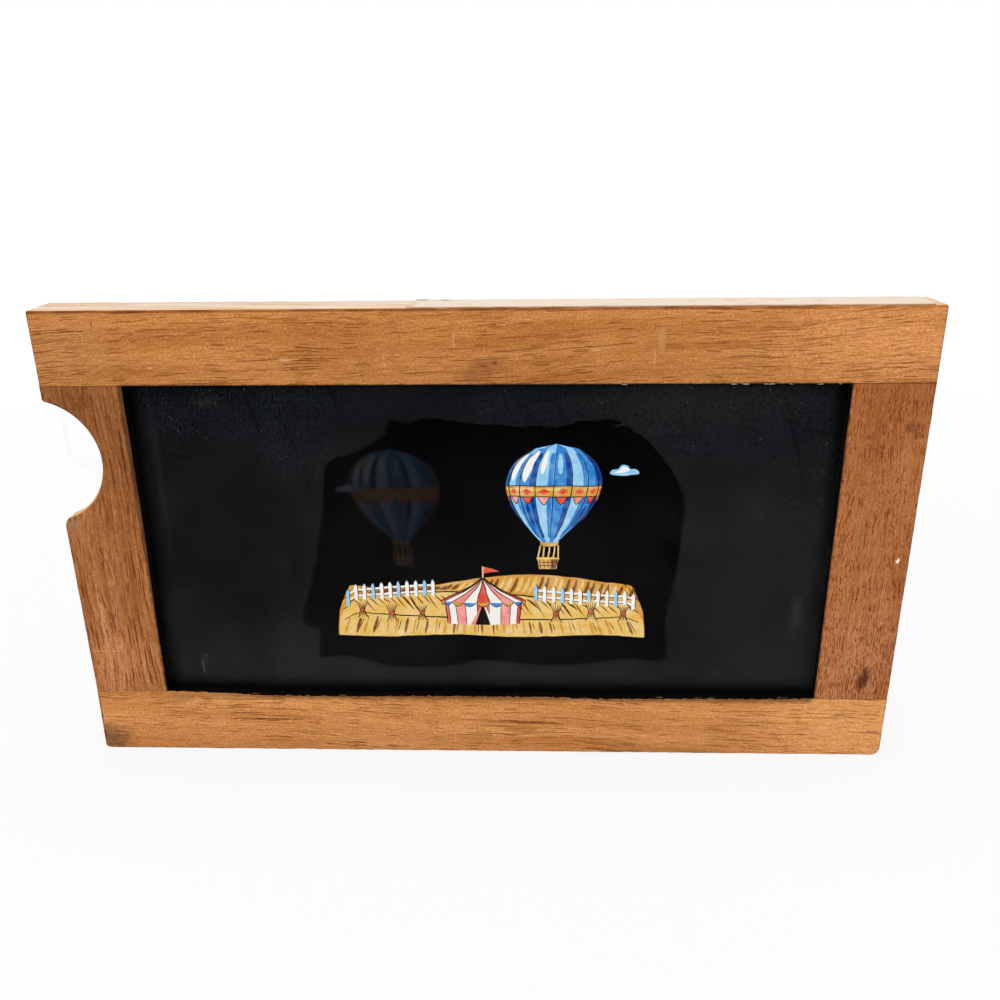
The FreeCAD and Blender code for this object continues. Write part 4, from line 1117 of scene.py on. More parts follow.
class SLIDE_OT_glasses(bpy.types.Operator):
    """Cut the picture glass and the slip glass with its pull tab"""

    bl_idname = "slide.glasses"
    bl_label = "Glasses"

    def slip_outline(self):
        corners = [(SLIP_LOW.x, SLIP_HIGH.z), (SLIP_HIGH.x, SLIP_HIGH.z), (SLIP_HIGH.x, FLOOR),
                   (STOP_NOTCH_HALF, FLOOR), (STOP_NOTCH_HALF, STOP_NOTCH_TOP), (-STOP_NOTCH_HALF, STOP_NOTCH_TOP),
                   (-STOP_NOTCH_HALF, FLOOR), (HEEL, FLOOR)]
        slant = Vector((SLIP_LOW.x - HEEL, TAB_FOOT - HEEL_TOP)).normalized()
        turn = math.acos(max(-1.0, min(1.0, slant.y)))
        back_off = HEEL_ROUND * math.tan(turn / 2)
        centre = Vector((HEEL - HEEL_ROUND, HEEL_TOP - back_off))
        corners += [(p.x, p.y) for p in arc(centre, HEEL_ROUND, 0.0, turn, 8)]
        return corners + [(SLIP_LOW.x, TAB_FOOT)]

    def edge_finish(self, glass, faces, edges):
        """Clear faces in the first slot and ground edges in the second."""
        glass.data.materials.clear()
        glass.data.materials.append(faces)
        glass.data.materials.append(edges)
        for face in glass.data.polygons:
            face.material_index = 0 if abs(face.normal.y) > 0.9 else 1
        return glass

    def execute(self, context):
        edges = glass_edge("ground_edge")
        pane = add_block("clear_picture_glass", PANE_LOW, PANE_HIGH)
        work(pane)
        bpy.ops.mesh.select_all(action="SELECT")
        bpy.ops.mesh.bevel(offset=sizes().arris, segments=2, affect="EDGES")
        self.edge_finish(pane, clear_glass("picture_glass_clear", 0.0118, 0.0001), edges)
        dress(pane, None, "frame", "clear_glass", "picture_glass")
        slip = add_plate("clear_slip_glass", self.slip_outline(), SLIP_LOW.y, SLIP_HIGH.y)
        work(slip)
        ease(slip, lambda a, b: close(a.y, b.y), sizes().arris * 0.5, 2)
        bpy.ops.object.mode_set(mode="OBJECT")
        self.edge_finish(slip, clear_glass("slip_glass_clear", 0.002, 0.0008), edges)
        dress(slip, None, "slip", "clear_glass", "slip_glass")
        return {"FINISHED"}


class SLIDE_OT_mask(bpy.types.Operator):
    """Cut the black paper with its window behind the picture"""

    bl_idname = "slide.mask"
    bl_label = "Mask paper"

    def execute(self, context):
        def in_window(p, margin=0.0):
            return (WINDOW_LOW[0] - margin < p.x < WINDOW_HIGH[0] + margin
                    and WINDOW_LOW[1] - margin < p.z < WINDOW_HIGH[1] + margin)

        paper = add_block("black_mask_paper", (MASK_LOW.x, MASK_FRONT, MASK_LOW.z), MASK_HIGH)
        work(paper)
        for x, z in (WINDOW_LOW, WINDOW_HIGH):
            cut_at("X", x)
            cut_at("Z", z)
        pick(paper, "faces", lambda face: abs(face.normal.y) > 0.9 and in_window(middle_of(face)))
        bpy.ops.mesh.delete(type="FACE")
        pick(paper, "edges", lambda edge: edge.is_boundary)
        bpy.ops.mesh.bridge_edge_loops()
        pick(paper, "edges", lambda edge: all(in_window(p, 1) for p in ends_of(edge)) and edge.calc_length() > 10 * MM)
        bpy.ops.mesh.subdivide(number_cuts=24)
        pick(paper, "verts", lambda corner: in_window(corner.co / MM, 1))
        for corner in bmesh.from_edit_mesh(paper.data).verts:
            if corner.select:
                stray = noise.noise_vector(Vector((corner.co.x, 0, corner.co.z)) * 220)
                corner.co.x += stray.x * sizes().brush_stray
                corner.co.z += stray.z * sizes().brush_stray
                for (x, z), (side, up) in WINDOW_CUTS:
                    outside = (corner.co.x / MM - x) * side + (corner.co.z / MM - z) * up
                    corner.co -= Vector((side, 0, up)) * max(0.0, outside) * MM
        bpy.ops.mesh.normals_make_consistent(inside=False)
        bpy.ops.object.mode_set(mode="OBJECT")
        dress(paper, black_paper("dusty_black_paper"), "frame", "black_paper", "mask_paper")
        return {"FINISHED"}


def smooth_line(points, steps, closed=False):
    """Points along a smooth line through the given ones."""
    count = len(points)
    at = (lambda i: points[i % count]) if closed else (lambda i: points[max(0, min(count - 1, i))])
    line = []
    for i in range(count if closed else count - 1):
        a, b, c, d = (Vector(at(i + k)) for k in (-1, 0, 1, 2))
        for k in range(steps):
            t = k / steps
            line.append(0.5 * (2 * b + (c - a) * t + (2 * a - 5 * b + 4 * c - d) * t * t
                               + (3 * b - a - 3 * c + d) * t ** 3))
    if not closed:
        line.append(Vector(points[-1]))
    return [(p.x, p.y) for p in line]


def winds_round(outline, point):
    """Whether a closed outline goes round a point."""
    turns = 0
    before = outline[-1]
    for corner in outline:
        side = (corner.x - before.x) * (point.y - before.y) - (point.x - before.x) * (corner.y - before.y)
        if before.y <= point.y < corner.y and side > 0:
            turns += 1
        elif corner.y <= point.y < before.y and side < 0:
            turns -= 1
        before = corner
    return turns != 0


class Picture:
    """Painted shapes in the order they were laid, each a closed outline of (x, z) places."""

    def __init__(self, stray):
        self.shapes = []
        self.stray = stray

    def fill(self, paint, outline):
        wandering = []
        for x, z in outline:
            drift = noise.noise_vector(Vector((x * 0.55, z * 0.55, 2.5)))
            wandering.append(Vector((x + drift.x * self.stray, z + drift.y * self.stray)))
        self.shapes.append((paint, wandering))

    def stroke(self, paint, points, width, steps=5, taper=0.55):
        """A brush line through points, thinning towards its ends."""
        line = [Vector(p) for p in smooth_line(points, steps)]
        left, right = [], []
        for i, point in enumerate(line):
            ahead = line[min(i + 1, len(line) - 1)] - line[max(i - 1, 0)]
            side = Vector((-ahead.y, ahead.x)).normalized()
            share = i / (len(line) - 1)
            half = width / 2 * max(0.12, math.sin(math.pi * min(max(share, 0.02), 0.98)) ** taper)
            left.append(point + side * half)
            right.append(point - side * half)
        self.fill(paint, [(p.x, p.y) for p in left + right[::-1]])

    def films(self):
        """The picture cut into triangles, each given to the last paint laid over it."""
        corners, edges, boxes = [], [], []
        for _, outline in self.shapes:
            first, count = len(corners), len(outline)
            edges += [(first + i, first + (i + 1) % count) for i in range(count)]
            corners += outline
            boxes.append((min(p.x for p in outline), max(p.x for p in outline),
                          min(p.y for p in outline), max(p.y for p in outline)))
        points, _, triangles, _, _, _ = delaunay_2d_cdt(corners, edges, [], 0, 1e-5)
        films = {}
        for triangle in triangles:
            middle = (points[triangle[0]] + points[triangle[1]] + points[triangle[2]]) / 3
            for (paint, outline), (left, right, low, high) in zip(self.shapes[::-1], boxes[::-1]):
                if left < middle.x < right and low < middle.y < high and winds_round(outline, middle):
                    films.setdefault(paint, []).append(triangle)
                    break
        return points, films


# The brushed outline of the picture's black ground, and the ends and foot of its fields
GROUND_CORNERS = ((-19.0, 78.1), (-20.2, 75.3), (-22.7, 73.5), (-27.1, 71.0), (-32.5, 69.1), (-33.9, 64.3),
                  (-34.4, 58.2), (-36.1, 50.5), (-37.2, 45.7), (-38.9, 39.2), (-40.9, 33.4), (-40.7, 30.9),
                  (-37.5, 29.2), (-37.9, 25.8), (-37.6, 22.3), (-31.9, 22.8), (-25.9, 21.1), (-19.9, 19.9),
                  (-13.0, 19.9), (-6.9, 20.4), (-2.4, 21.7), (4.4, 21.4), (12.7, 20.6), (23.2, 21.1), (30.7, 22.4),
                  (39.6, 22.5), (39.5, 31.4), (40.3, 37.9), (41.4, 44.4), (42.0, 52.2), (42.2, 60.6), (39.5, 66.5),
                  (36.9, 70.1), (34.4, 73.0), (31.6, 75.2), (27.5, 75.9), (26.7, 77.3), (22.0, 77.7), (17.2, 77.0),
                  (12.5, 75.9), (4.3, 77.0), (-2.6, 77.4), (-10.8, 78.5), (-15.6, 77.4))
FIELD_LEFT, FIELD_RIGHT, FIELD_FOOT = -33.4, 35.4, 28.0
PICTURE_STRAY = 0.14


def hill(x, base, swell, wave, phase):
    """Height of a field's skyline, falling away at both ends of the picture."""
    edge = min(1.0, (x - FIELD_LEFT) / 3.5, (FIELD_RIGHT - x) / 3.5)
    return FIELD_FOOT + (base - FIELD_FOOT + swell * math.sin(x / wave + phase)) * math.sqrt(max(0.0, edge))


FAR_HILL, MIDDLE_HILL, NEAR_HILL = (41.6, 1.7, 10.0, 0.6), (37.6, 1.3, 13.0, 2.2), (33.0, 0.9, 16.0, 4.2)


def draw_fields(picture, draw):
    """Three rolling fields with furrows and hatched shade."""
    steps = evenly(FIELD_LEFT, FIELD_RIGHT, 80)
    for paint, shape in (("gold", FAR_HILL), ("pale_gold", MIDDLE_HILL), ("pale_gold", NEAR_HILL)):
        skyline = [(x, hill(x, *shape)) for x in steps]
        picture.fill(paint, skyline + [(x, FIELD_FOOT - 0.3 * math.sin(x / 5)) for x in steps[::-1]])
        picture.stroke("ink", skyline[2:-2:4], 0.3, 4, 0.2)
    for i in range(46):
        x = FIELD_LEFT + 2.6 + i * 1.42 + draw.uniform(-0.3, 0.3)
        top, foot = hill(x, *FAR_HILL), hill(x, *MIDDLE_HILL)
        if top - foot > 1.4 and FIELD_LEFT + 3 < x < FIELD_RIGHT - 3:
            paint = draw.choice(("brown", "pale_gold", "brown"))
            picture.stroke(paint, [(x - 0.9, foot + 0.5), (x + 0.3, (top + foot) / 2), (x + 0.9, top - 0.6)], 0.75, 3)
    for i in range(44):
        x = FIELD_LEFT + 3.0 + i * 1.45 + draw.uniform(-0.4, 0.4)
        top, foot = hill(x, *MIDDLE_HILL), hill(x, *NEAR_HILL)
        if FIELD_LEFT + 3 < x < FIELD_RIGHT - 3:
            drop = (top - foot) * draw.uniform(0.45, 0.95)
            paint = draw.choice(("gold", "gold", "brown"))
            furrow = [(x - 1.2, top - 0.6), (x, top - drop * 0.5), (x + 1.4, top - drop)]
            picture.stroke(paint, furrow, draw.uniform(0.3, 0.55), 3)
            picture.stroke("ink", [(x - 0.8, top - 0.9), (x + 0.7, top - drop * 0.8)], 0.2, 3)
    for i in range(30):
        x = FIELD_LEFT + 3.4 + i * 2.1 + draw.uniform(-0.4, 0.4)
        top = hill(x, *NEAR_HILL)
        lean = (x - 1.0) * 0.05
        paint = draw.choice(("gold", "gold", "gold", "brown"))
        furrow = [(x, top - 0.5), (x + lean * 0.5, (top + FIELD_FOOT) / 2), (x + lean, FIELD_FOOT + 0.5)]
        picture.stroke(paint, furrow, draw.uniform(0.35, 0.8), 3)
        if i % 2:
            foot = FIELD_FOOT + draw.uniform(0.7, 1.8)
            picture.stroke("ink", [(x + 0.7, top - 0.9), (x + 0.7 + lean, foot)], 0.18, 3)


def draw_fence(picture, left, right):
    """White palings in front of the far field."""
    places = evenly(left, right, round((right - left) / 1.9))
    for height in (1.0, 2.5):
        rail = [(x, hill(x, *MIDDLE_HILL) - 0.9 + height) for x in places]
        picture.fill("white", [(x, z + 0.28) for x, z in rail] + [(x, z - 0.28) for x, z in rail[::-1]])
        picture.stroke("ink", [(x, z - 0.3) for x, z in rail], 0.16, 3, 0.1)
    for i, x in enumerate(places):
        foot = hill(x, *MIDDLE_HILL) - 1.0
        shoulder = foot + 3.3
        paling = [(x - 0.38, foot), (x + 0.38, foot), (x + 0.38, shoulder), (x, foot + 4.0), (x - 0.38, shoulder)]
        picture.fill("white" if i % 3 else "pale_blue", paling)
        picture.stroke("ink", [(x + 0.42, foot), (x + 0.42, shoulder), (x, foot + 4.05)], 0.17, 3, 0.15)


def draw_tent(picture, middle, foot):
    """A striped round tent with a scalloped edge and a pennant."""
    half, eave, apex = 8.6, foot + 5.6, foot + 11.4
    paints = ("coral", "white", "pink", "white", "coral", "white", "pink", "white", "coral")
    seams = evenly(0.0, 1.0, len(paints))
    stripes = list(zip(paints, seams, seams[1:]))

    def wall(share, height):
        turn = (share - 0.5) * math.pi
        across = math.sin(turn * 0.92) * half * (0.93 + 0.07 * (height - foot) / 5.6)
        return middle + across, height - 0.5 * math.cos(turn)

    def roof(share, height):
        turn = (share - 0.5) * math.pi
        rise = (height - eave) / (apex - eave)
        across = math.sin(turn * 0.94) * (half + 0.8) * (1 - rise) ** 1.35
        return middle + across, height - 0.7 * math.cos(turn) * (1 - rise)

    for paint, left, right in stripes:
        across = evenly(left, right, 3)
        picture.fill(paint, [wall(share, foot) for share in across] + [wall(share, eave) for share in across[::-1]])
    for seam in seams[1:-1]:
        picture.stroke("ink", [wall(seam, foot + 0.1), wall(seam, eave)], 0.16, 4, 0.15)
    picture.fill("ink", [(middle - 0.1, foot + 4.6), (middle - 1.9, foot - 0.4), (middle + 1.7, foot - 0.4)])
    picture.fill("pink", [(middle - 0.2, foot + 4.7), (middle - 2.9, foot - 0.4), (middle - 1.8, foot - 0.45)])
    picture.fill("white", [(middle, foot + 4.7), (middle + 1.6, foot - 0.45), (middle + 2.7, foot - 0.4)])
    heights = evenly(eave, apex, 8)
    for paint, left, right in stripes:
        picture.fill(paint, [roof(left, z) for z in heights] + [roof(right, z) for z in heights[::-1]])
    for seam in seams:
        picture.stroke("ink", [roof(seam, z) for z in heights[::2]], 0.2 if 0 < seam < 1 else 0.3, 4, 0.2)
    for i, (_, left, right) in enumerate(stripes):
        (left_x, left_z), (right_x, right_z) = roof(left, eave), roof(right, eave)
        edge = zip(evenly(left_x, right_x, 8), evenly(left_z, right_z, 8), evenly(0.0, math.pi, 8))
        scallop = [(x, z - 0.95 * math.sin(turn)) for x, z, turn in edge]
        picture.fill(("gold", "blue")[i % 2], scallop)
        picture.stroke("ink", scallop[::2], 0.17, 3, 0.15)
    for side in (0, 1):
        picture.stroke("ink", [wall(side, foot), wall(side, eave - 0.6)], 0.26, 3, 0.2)
    picture.stroke("pale_gold", [(middle, apex - 0.3), (middle, apex + 2.4)], 0.34, 3, 0.1)
    picture.fill("coral", [(middle + 0.15, apex + 2.3), (middle + 2.2, apex + 1.9), (middle + 3.6, apex + 1.2),
                           (middle + 2.1, apex + 1.1), (middle + 0.15, apex + 0.8)])


def draw_sheaf(picture, x, foot, size):
    """A tied sheaf of wheat."""
    def at(*points):
        return [(x + a * size, foot + b * size) for a, b in points]

    outline = ((-1.25, 0), (-0.5, 2.3), (-1.2, 4.2), (-0.7, 4.9), (-0.1, 4.5), (0.3, 5.0), (0.8, 4.6), (1.2, 4.3),
               (0.5, 2.3), (1.3, 0))
    picture.fill("pale_gold", at(*outline))
    for low, waist, high in ((-0.9, -0.2, -0.8), (-0.3, 0.0, -0.2), (0.3, 0.15, 0.4), (0.95, 0.3, 0.9)):
        picture.stroke("brown", at((low, 0.2), (waist, 2.3), (high, 4.5)), 0.24, 3)
    picture.fill("coral", at((-0.62, 2.05), (0.62, 2.05), (0.58, 2.5), (-0.58, 2.5)))
    for side in (outline[-3:], outline[:3]):
        picture.stroke("ink", at(*side), 0.2, 3, 0.2)


def draw_balloon(picture, middle, top, radius, lean):
    """A gored balloon with a banded waist, ropes and a basket."""
    tall, waist, hem = radius * 2.12, 0.42, 0.53
    paints = ("blue", "pale_blue") * 3 + ("blue", "deep_blue")
    turns = evenly(-math.pi / 2, math.pi / 2, len(paints))
    gores = list(zip(paints, turns, turns[1:]))
    across = evenly(-math.pi / 2, math.pi / 2, 24)
    down = evenly(0.0, 1.0, 20)

    def width(t):
        if t < waist:
            return radius * math.sqrt(max(0.0, 1 - ((t - waist) / waist) ** 2))
        return radius * (1 - 0.8 * ((t - waist) / 0.58) ** 1.75)

    def place(t, turn):
        sag = 0.07 * radius * math.cos(turn) * (t - 0.2)
        return middle + width(t) * math.sin(turn) + lean * (t - 0.5), top - tall * t - sag

    def down_gore(i, share, start, stop):
        turn = turns[i] + (turns[i + 1] - turns[i]) * share
        return [place(t, turn) for t in evenly(start, stop, 4)]

    for paint, left, right in gores:
        picture.fill(paint, [place(t, left) for t in down] + [place(t, right) for t in down[::-1]])
    for paint, left, right in gores:
        inner = left + (right - left) * 0.66
        shade = [place(t, inner) for t in down[2:-1]] + [place(t, right - 0.02) for t in down[-2:1:-1]]
        picture.fill({"pale_blue": "blue"}.get(paint, "deep_blue"), shade)
    for i, start, stop in ((1, 0.1, 0.36), (2, 0.07, 0.38), (3, 0.08, 0.3), (4, 0.1, 0.3), (5, 0.12, 0.26)):
        wide = 0.16 * radius * (1.0 if i == 2 else 0.7)
        picture.stroke("white" if i < 4 else "pale_blue", down_gore(i, 0.33, start, stop), wide, 4)
    for i, start, stop in ((1, 0.62, 0.86), (2, 0.6, 0.84), (3, 0.62, 0.9), (5, 0.6, 0.88), (6, 0.62, 0.84)):
        paint = "deep_blue" if paints[i] == "blue" else "pale_blue"
        picture.stroke(paint, down_gore(i, 0.4, start, stop), 0.08 * radius, 4)
    picture.fill("gold", [place(waist, turn) for turn in across] + [place(hem, turn) for turn in across[::-1]])
    picture.fill("pale_gold", [place(0.44, turn) for turn in across[2:14]]
                 + [place(0.47, turn) for turn in across[13:1:-1]])
    for i, (_, left, right) in enumerate(gores):
        left, right = left + 0.06, right - 0.06
        drop = [place(hem + 0.075 * math.sin(swing), turn)
                for turn, swing in zip(evenly(left, right, 8), evenly(0.0, math.pi, 8))]
        picture.fill(("coral", "pink")[i % 2], drop)
        picture.stroke("ink", drop[::2], 0.18, 3, 0.2)
        centre = (left + right) / 2
        picture.fill("coral", [place(0.445, centre), place(0.475, centre + 0.12), place(0.505, centre),
                               place(0.475, centre - 0.12)])
    for edge in (waist, hem):
        picture.stroke("ink", [place(edge, turn) for turn in across[::3]], 0.2, 4, 0.2)
    for turn in turns:
        wide = 0.32 if turn in (turns[0], turns[-1]) else 0.2
        picture.stroke("ink", [place(t, turn) for t in down[1:-1:2]], wide, 3, 0.25)
    neck = [place(1.0, turn) for turn in across]
    picture.fill("gold", neck + [(x * 0.9 + (middle + lean * 0.5) * 0.1, z - 1.0) for x, z in neck[::-1]])
    picture.stroke("ink", [(x, z - 1.0) for x, z in neck[2:-2:4]], 0.2, 3, 0.2)

    basket, rim, half = middle + lean * 0.72, top - tall - 0.2 * tall, radius * 0.2
    base = rim - radius * 0.24
    for share in (-1.0, -0.5, 0.0, 0.5, 1.0):
        x, z = place(1.0, share * 1.2)
        picture.stroke("pale_gold", [(x, z - 1.0), (basket + share * half * 1.05, rim)], 0.34, 3, 0.1)
    picture.fill("gold", [(basket - half * 1.15, rim + 0.3), (basket + half * 1.15, rim + 0.3),
                          (basket + half * 0.9, base), (basket - half * 0.9, base)])
    picture.fill("brown", [(basket + half * 0.3, rim), (basket + half * 1.05, rim), (basket + half * 0.82, base),
                           (basket + half * 0.3, base)])
    picture.stroke("pale_gold", [(basket - half * 1.2, rim + 0.1), (basket + half * 1.2, rim + 0.1)], 0.5, 3, 0.1)
    for k in range(5):
        x = basket + half * (-0.9 + 0.45 * k)
        picture.stroke("ink", [(x, rim - 0.2), (x + 0.25, rim - radius * 0.22)], 0.15, 3, 0.2)
    for k in range(2):
        z = rim - radius * (0.08 + 0.08 * k)
        picture.stroke("ink", [(basket - half, z), (basket + half, z - 0.05)], 0.15, 3, 0.2)


def draw_cloud(picture, x, z, size):
    """A small lit cloud."""
    puffs = ((-2.6, 0.0), (-2.2, 0.8), (-1.2, 0.9), (-0.5, 1.6), (0.6, 1.5), (1.1, 0.9), (2.0, 0.9), (2.7, 0.1),
             (1.0, -0.3), (-1.2, -0.35))
    lights = ((-1.9, 0.3), (-1.0, 0.6), (-0.3, 1.25), (0.5, 1.15), (0.9, 0.55), (0.0, 0.35), (-1.0, 0.15))
    for paint, outline in (("pale_blue", puffs), ("white", lights)):
        picture.fill(paint, smooth_line([(x + a * size, z + b * size) for a, b in outline], 4, closed=True))


def draw_picture():
    """The whole picture: black ground first, then everything that the light shows."""
    draw = random.Random(7)
    picture = Picture(PICTURE_STRAY)
    picture.fill("ground", smooth_line(GROUND_CORNERS, 8, closed=True))
    for x, z, reach in ((19.0, 77.5, 6.0), (23.4, 77.6, 5.0), (27.0, 76.2, 4.0), (9.0, 76.6, 6.0), (-14.0, 77.9, 5.0)):
        middle = (x + reach * 0.5, z + draw.uniform(-0.3, 0.3))
        picture.stroke("ground", [(x, z), middle, (x + reach, z - draw.uniform(0.2, 1.0))], 0.9, 5, 0.4)
    draw_fields(picture, draw)
    draw_fence(picture, -30.6, -11.6)
    draw_fence(picture, 11.0, 32.4)
    for x, foot, size in ((-27.5, 32.2, 0.95), (-21.0, 31.2, 1.05), (-14.2, 31.6, 0.9), (15.5, 31.4, 1.0),
                          (23.2, 31.8, 1.05), (30.2, 31.6, 0.9)):
        draw_sheaf(picture, x, foot, size)
    draw_tent(picture, -0.6, 31.2)
    draw_balloon(picture, 14.6, 72.9, 10.2, -1.4)
    draw_balloon(picture, -18.8, 71.8, 9.6, 1.6)
    draw_cloud(picture, 29.4, 66.4, 1.15)
    draw_cloud(picture, -29.0, 62.6, 0.95)
    return picture.films()


class SLIDE_OT_picture(bpy.types.Operator):
    """Paint the black ground and the coloured picture on the back of the picture glass"""

    bl_idname = "slide.picture"
    bl_label = "Picture"

    def film(self, name, points, triangles):
        """One paint's shapes as a thin film on the back of the pane."""
        used = sorted({i for triangle in triangles for i in triangle})
        order = {old: new for new, old in enumerate(used)}
        mesh = bpy.data.meshes.new(name)
        mesh.from_pydata([(points[i].x * MM, PANE_BACK * MM, points[i].y * MM) for i in used], [],
                         [[order[i] for i in triangle] for triangle in triangles])
        film = bpy.data.objects.new(name, mesh)
        bpy.context.scene.collection.objects.link(film)
        work(film)
        bpy.ops.mesh.select_all(action="SELECT")
        bpy.ops.mesh.dissolve_limited(angle_limit=math.radians(0.5))
        bpy.ops.mesh.quads_convert_to_tris()
        bpy.ops.object.mode_set(mode="OBJECT")
        apply_modifier(film, "SOLIDIFY", thickness=(PAINT_BACK - PANE_BACK) * MM, offset=-1.0)
        return film

    def execute(self, context):
        tint = colours()
        points, films = draw_picture()
        for paint, triangles in films.items():
            colour = tuple(getattr(tint, paint))
            if paint in ("ground", "ink"):
                finish = black_paint(f"{paint}_paint", colour, (0.25, 0.25, 0.9))
                slot = "black_ground"
            else:
                finish = glass_paint(f"{paint}_wash", colour, 0.013, (0.5, 0.5, 1.6))
                slot = "picture_colours"
            dress(self.film(f"painted_{paint}", points, triangles), finish, "frame", slot)
        return {"FINISHED"}


class SLIDE_OT_slip_paint(bpy.types.Operator):
    """Paint the slip glass's two black patches, which hide one half of the picture at a time"""

    bl_idname = "slide.slip_paint"
    bl_label = "Slip patches"

    def patch(self, name, left, right, low, high, seed):
        """A brushed patch with streaked ends on the front of the slip glass."""
        stray = sizes().brush_stray / MM * 1.6
        sharp = ((left, low), (right, low), (right, high), (left, high))
        corners = []
        for (ax, az), (bx, bz) in zip(sharp, sharp[1:] + sharp[:1]):
            for k in range(PATCH_STEPS):
                x, z = ax + (bx - ax) * k / PATCH_STEPS, az + (bz - az) * k / PATCH_STEPS
                drift = noise.noise_vector(Vector((x * 0.35, z * 0.35, seed)))
                drift += 0.5 * noise.noise_vector(Vector((x, z, seed)))
                corners.append((x + drift.x * stray, z + drift.y * stray))
        return add_plate(name, corners, SLIP_LOW.y - PAINT_FILM, SLIP_LOW.y)

    def execute(self, context):
        finish = black_paint("slip_black_paint", linear(9, 9, 10), (0.12, 0.12, 0.8))
        for name, left, right, seed in (("slip_patch_left", -37.5, -2.0, 3.0), ("slip_patch_right", 34.0, 71.0, 8.0)):
            dress(self.patch(name, left, right, PATCH_LOW, PATCH_HIGH, seed), finish, "slip", "slip_black")
        return {"FINISHED"}


class SLIDE_OT_title_strip(bpy.types.Operator):
    """Paste the blank paper strip on the top edge, with its loose torn end"""

    bl_idname = "slide.title_strip"
    bl_label = "Title strip"

    def execute(self, context):
        strip = add_block("pasted_title_strip", STRIP_LOW, STRIP_HIGH)
        work(strip)
        for axis, cuts in (("x", 100), ("y", 9)):
            divide(strip, axis, 4.0, cuts)
        mesh = bmesh.from_edit_mesh(strip.data)
        for corner in mesh.verts:
            x, y = corner.co.x / MM, corner.co.y / MM
            ripple = noise.noise_vector(Vector((x * 0.4, y * 0.4, 5.0)))
            fine = noise.noise_vector(Vector((x * 1.7, y * 1.7, 9.0)))
            side = (y - (STRIP_LOW.y + STRIP_HIGH.y) / 2) / ((STRIP_HIGH.y - STRIP_LOW.y) / 2)
            corner.co.y += (abs(side) > 0.95) * (ripple.y * 0.16 + fine.y * 0.06) * MM - (side < -0.95) * 0.34 * MM
            loose = max(0.0, 1 - (x - STRIP_LOW.x) / 8.0)
            torn = max(0.0, 1 - (x - STRIP_LOW.x) / 1.2)
            corner.co.x += torn * (1.1 * ripple.x + 0.6 * fine.x + 0.5 * side) * MM
            corner.co.z += sizes().curl * loose ** 2 * (0.45 + 0.55 * side) + abs(ripple.z) * 0.05 * MM
        bmesh.update_edit_mesh(strip.data)
        bpy.ops.object.mode_set(mode="OBJECT")
        dress(strip, aged_paper("pasted_paper", tuple(colours().title_paper)), "frame", "title_paper", "title_strip")
        return {"FINISHED"}


class SLIDE_OT_fittings(bpy.types.Operator):
    """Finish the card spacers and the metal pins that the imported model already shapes"""

    bl_idname = "slide.fittings"
    bl_label = "Spacers and pins"

    def execute(self, context):
        tint = colours()
        card = grey_card("pressed_card", tuple(tint.card))
        brass = old_metal("dull_brass", tuple(tint.brass), linear(92, 72, 42), 0.32)
        iron = old_metal("rusted_iron", tuple(tint.iron), linear(96, 54, 34), 0.45)
        for finish, nodes in ((card, ("top_spacer", "bottom_spacer", "left_spacer", "right_spacer")),
                              (brass, ("stop_pin", "bead_pins")), (iron, ("corner_brads",))):
            for node in nodes:
                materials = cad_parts[node].data.materials
                materials.clear()
                materials.append(finish)
        return {"FINISHED"}


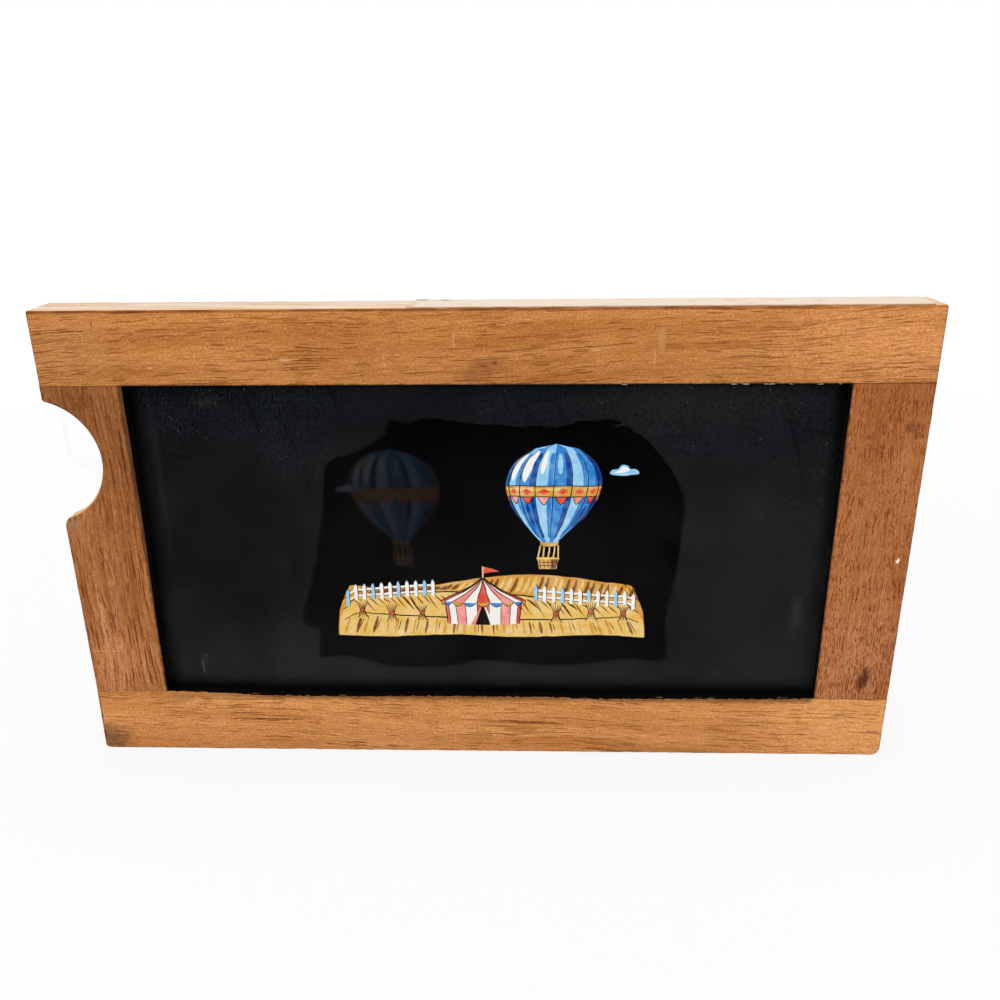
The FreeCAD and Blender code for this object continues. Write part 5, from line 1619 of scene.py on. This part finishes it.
class SLIDE_OT_stage(bpy.types.Operator):
    """Set the pale floor, the soft light and the camera"""

    bl_idname = "slide.stage"
    bl_label = "Stage"

    def seen_directly(self, finish):
        """1 where the eye sees a surface straight, in a mirror or through glass."""
        ray = finish.add("LightPath").outputs
        return finish.most(ray["Is Camera Ray"], ray["Is Glossy Ray"], ray["Is Transmission Ray"])

    def floor(self):
        clear_selection()
        bpy.ops.mesh.primitive_plane_add(size=FLOOR_SIZE, location=(0, 0, -FLOOR_DROP))
        floor = name_new("floor")
        finish = Finish(bpy.data.materials.new("pale_floor"))
        matt = finish.add("BsdfDiffuse", {"Color": (0.8, 0.8, 0.8)})
        far = finish.vector("LENGTH", finish.place())
        white = finish.add("Emission", {"Color": (1, 1, 1), "Strength": finish.reach(far, 130.0, 420.0, 0.965, 1.0)})
        share = finish.times(self.seen_directly(finish), finish.reach(far, 110.0, 330.0, 0.86, 1.0))
        floor.data.materials.append(finish.surface(finish.blend(share, matt, white)))

    def sky(self):
        world = bpy.data.worlds.new("studio")
        bpy.context.scene.world = world
        finish = Finish(world)
        light = finish.add("Background", {"Color": (1.0, 0.99, 0.97), "Strength": 0.48})
        white = finish.add("Background", {"Color": (1, 1, 1), "Strength": 1.0})
        finish.surface(finish.blend(self.seen_directly(finish), light, white), "OutputWorld")

    def lamp(self, name, place, size, power):
        clear_selection()
        bpy.ops.object.light_add(type="AREA", location=place)
        lamp = bpy.context.object
        lamp.name = name
        lamp.data.shape = "DISK"
        lamp.data.size = size
        lamp.data.energy = power
        lamp.rotation_euler = (Vector(LAMP_TARGET) - Vector(place)).to_track_quat("-Z", "Y").to_euler()

    def camera(self):
        clear_selection()
        bpy.ops.object.camera_add(location=Vector(CAMERA_PLACE) * MM)
        camera = bpy.context.object
        look, up = Vector(CAMERA_LOOK).normalized(), Vector(CAMERA_UP).normalized()
        right = look.cross(up).normalized()
        turn = Matrix((right, right.cross(look), -look)).transposed()
        camera.rotation_euler = turn.to_euler()
        camera.data.sensor_width = SENSOR
        camera.data.lens = CAMERA_FOCUS * SENSOR
        camera.data.clip_start = CLIP_START
        bpy.context.scene.camera = camera

    def execute(self, context):
        self.floor()
        self.sky()
        for lamp in LAMPS:
            self.lamp(*lamp)
        self.camera()
        context.scene.view_settings.view_transform = "Standard"
        return {"FINISHED"}


OPERATORS = (SLIDE_OT_rails, SLIDE_OT_stiles, SLIDE_OT_splinters, SLIDE_OT_beads, SLIDE_OT_glasses, SLIDE_OT_mask,
             SLIDE_OT_picture, SLIDE_OT_slip_paint, SLIDE_OT_title_strip, SLIDE_OT_fittings, SLIDE_OT_stage)


class SLIDE_PT_panel(bpy.types.Panel):
    """The steps that dress the slide, with their sizes and colours"""

    bl_idname = "SLIDE_PT_panel"
    bl_label = "Slipping slide"
    bl_space_type = "VIEW_3D"
    bl_region_type = "UI"
    bl_category = "Slide"

    def draw(self, context):
        for operator in OPERATORS:
            self.layout.operator(operator.bl_idname)
        for group in (context.scene.slide_sizes, context.scene.slide_colours):
            for key in type(group).__annotations__:
                self.layout.prop(group, key)


CLASSES = (SlideSizes, SlideColours, *OPERATORS, SLIDE_PT_panel)


def register():
    noise.seed_set(NOISE_SEED)
    for item in CLASSES:
        bpy.utils.register_class(item)
    bpy.types.Scene.slide_sizes = bpy.props.PointerProperty(type=SlideSizes)
    bpy.types.Scene.slide_colours = bpy.props.PointerProperty(type=SlideColours)


def unregister():
    del bpy.types.Scene.slide_colours
    del bpy.types.Scene.slide_sizes
    for item in reversed(CLASSES):
        bpy.utils.unregister_class(item)


def main():
    register()
    for operator in OPERATORS:
        group, step = operator.bl_idname.split(".")
        getattr(getattr(bpy.ops, group), step)()


if __name__ == "__main__":
    main()
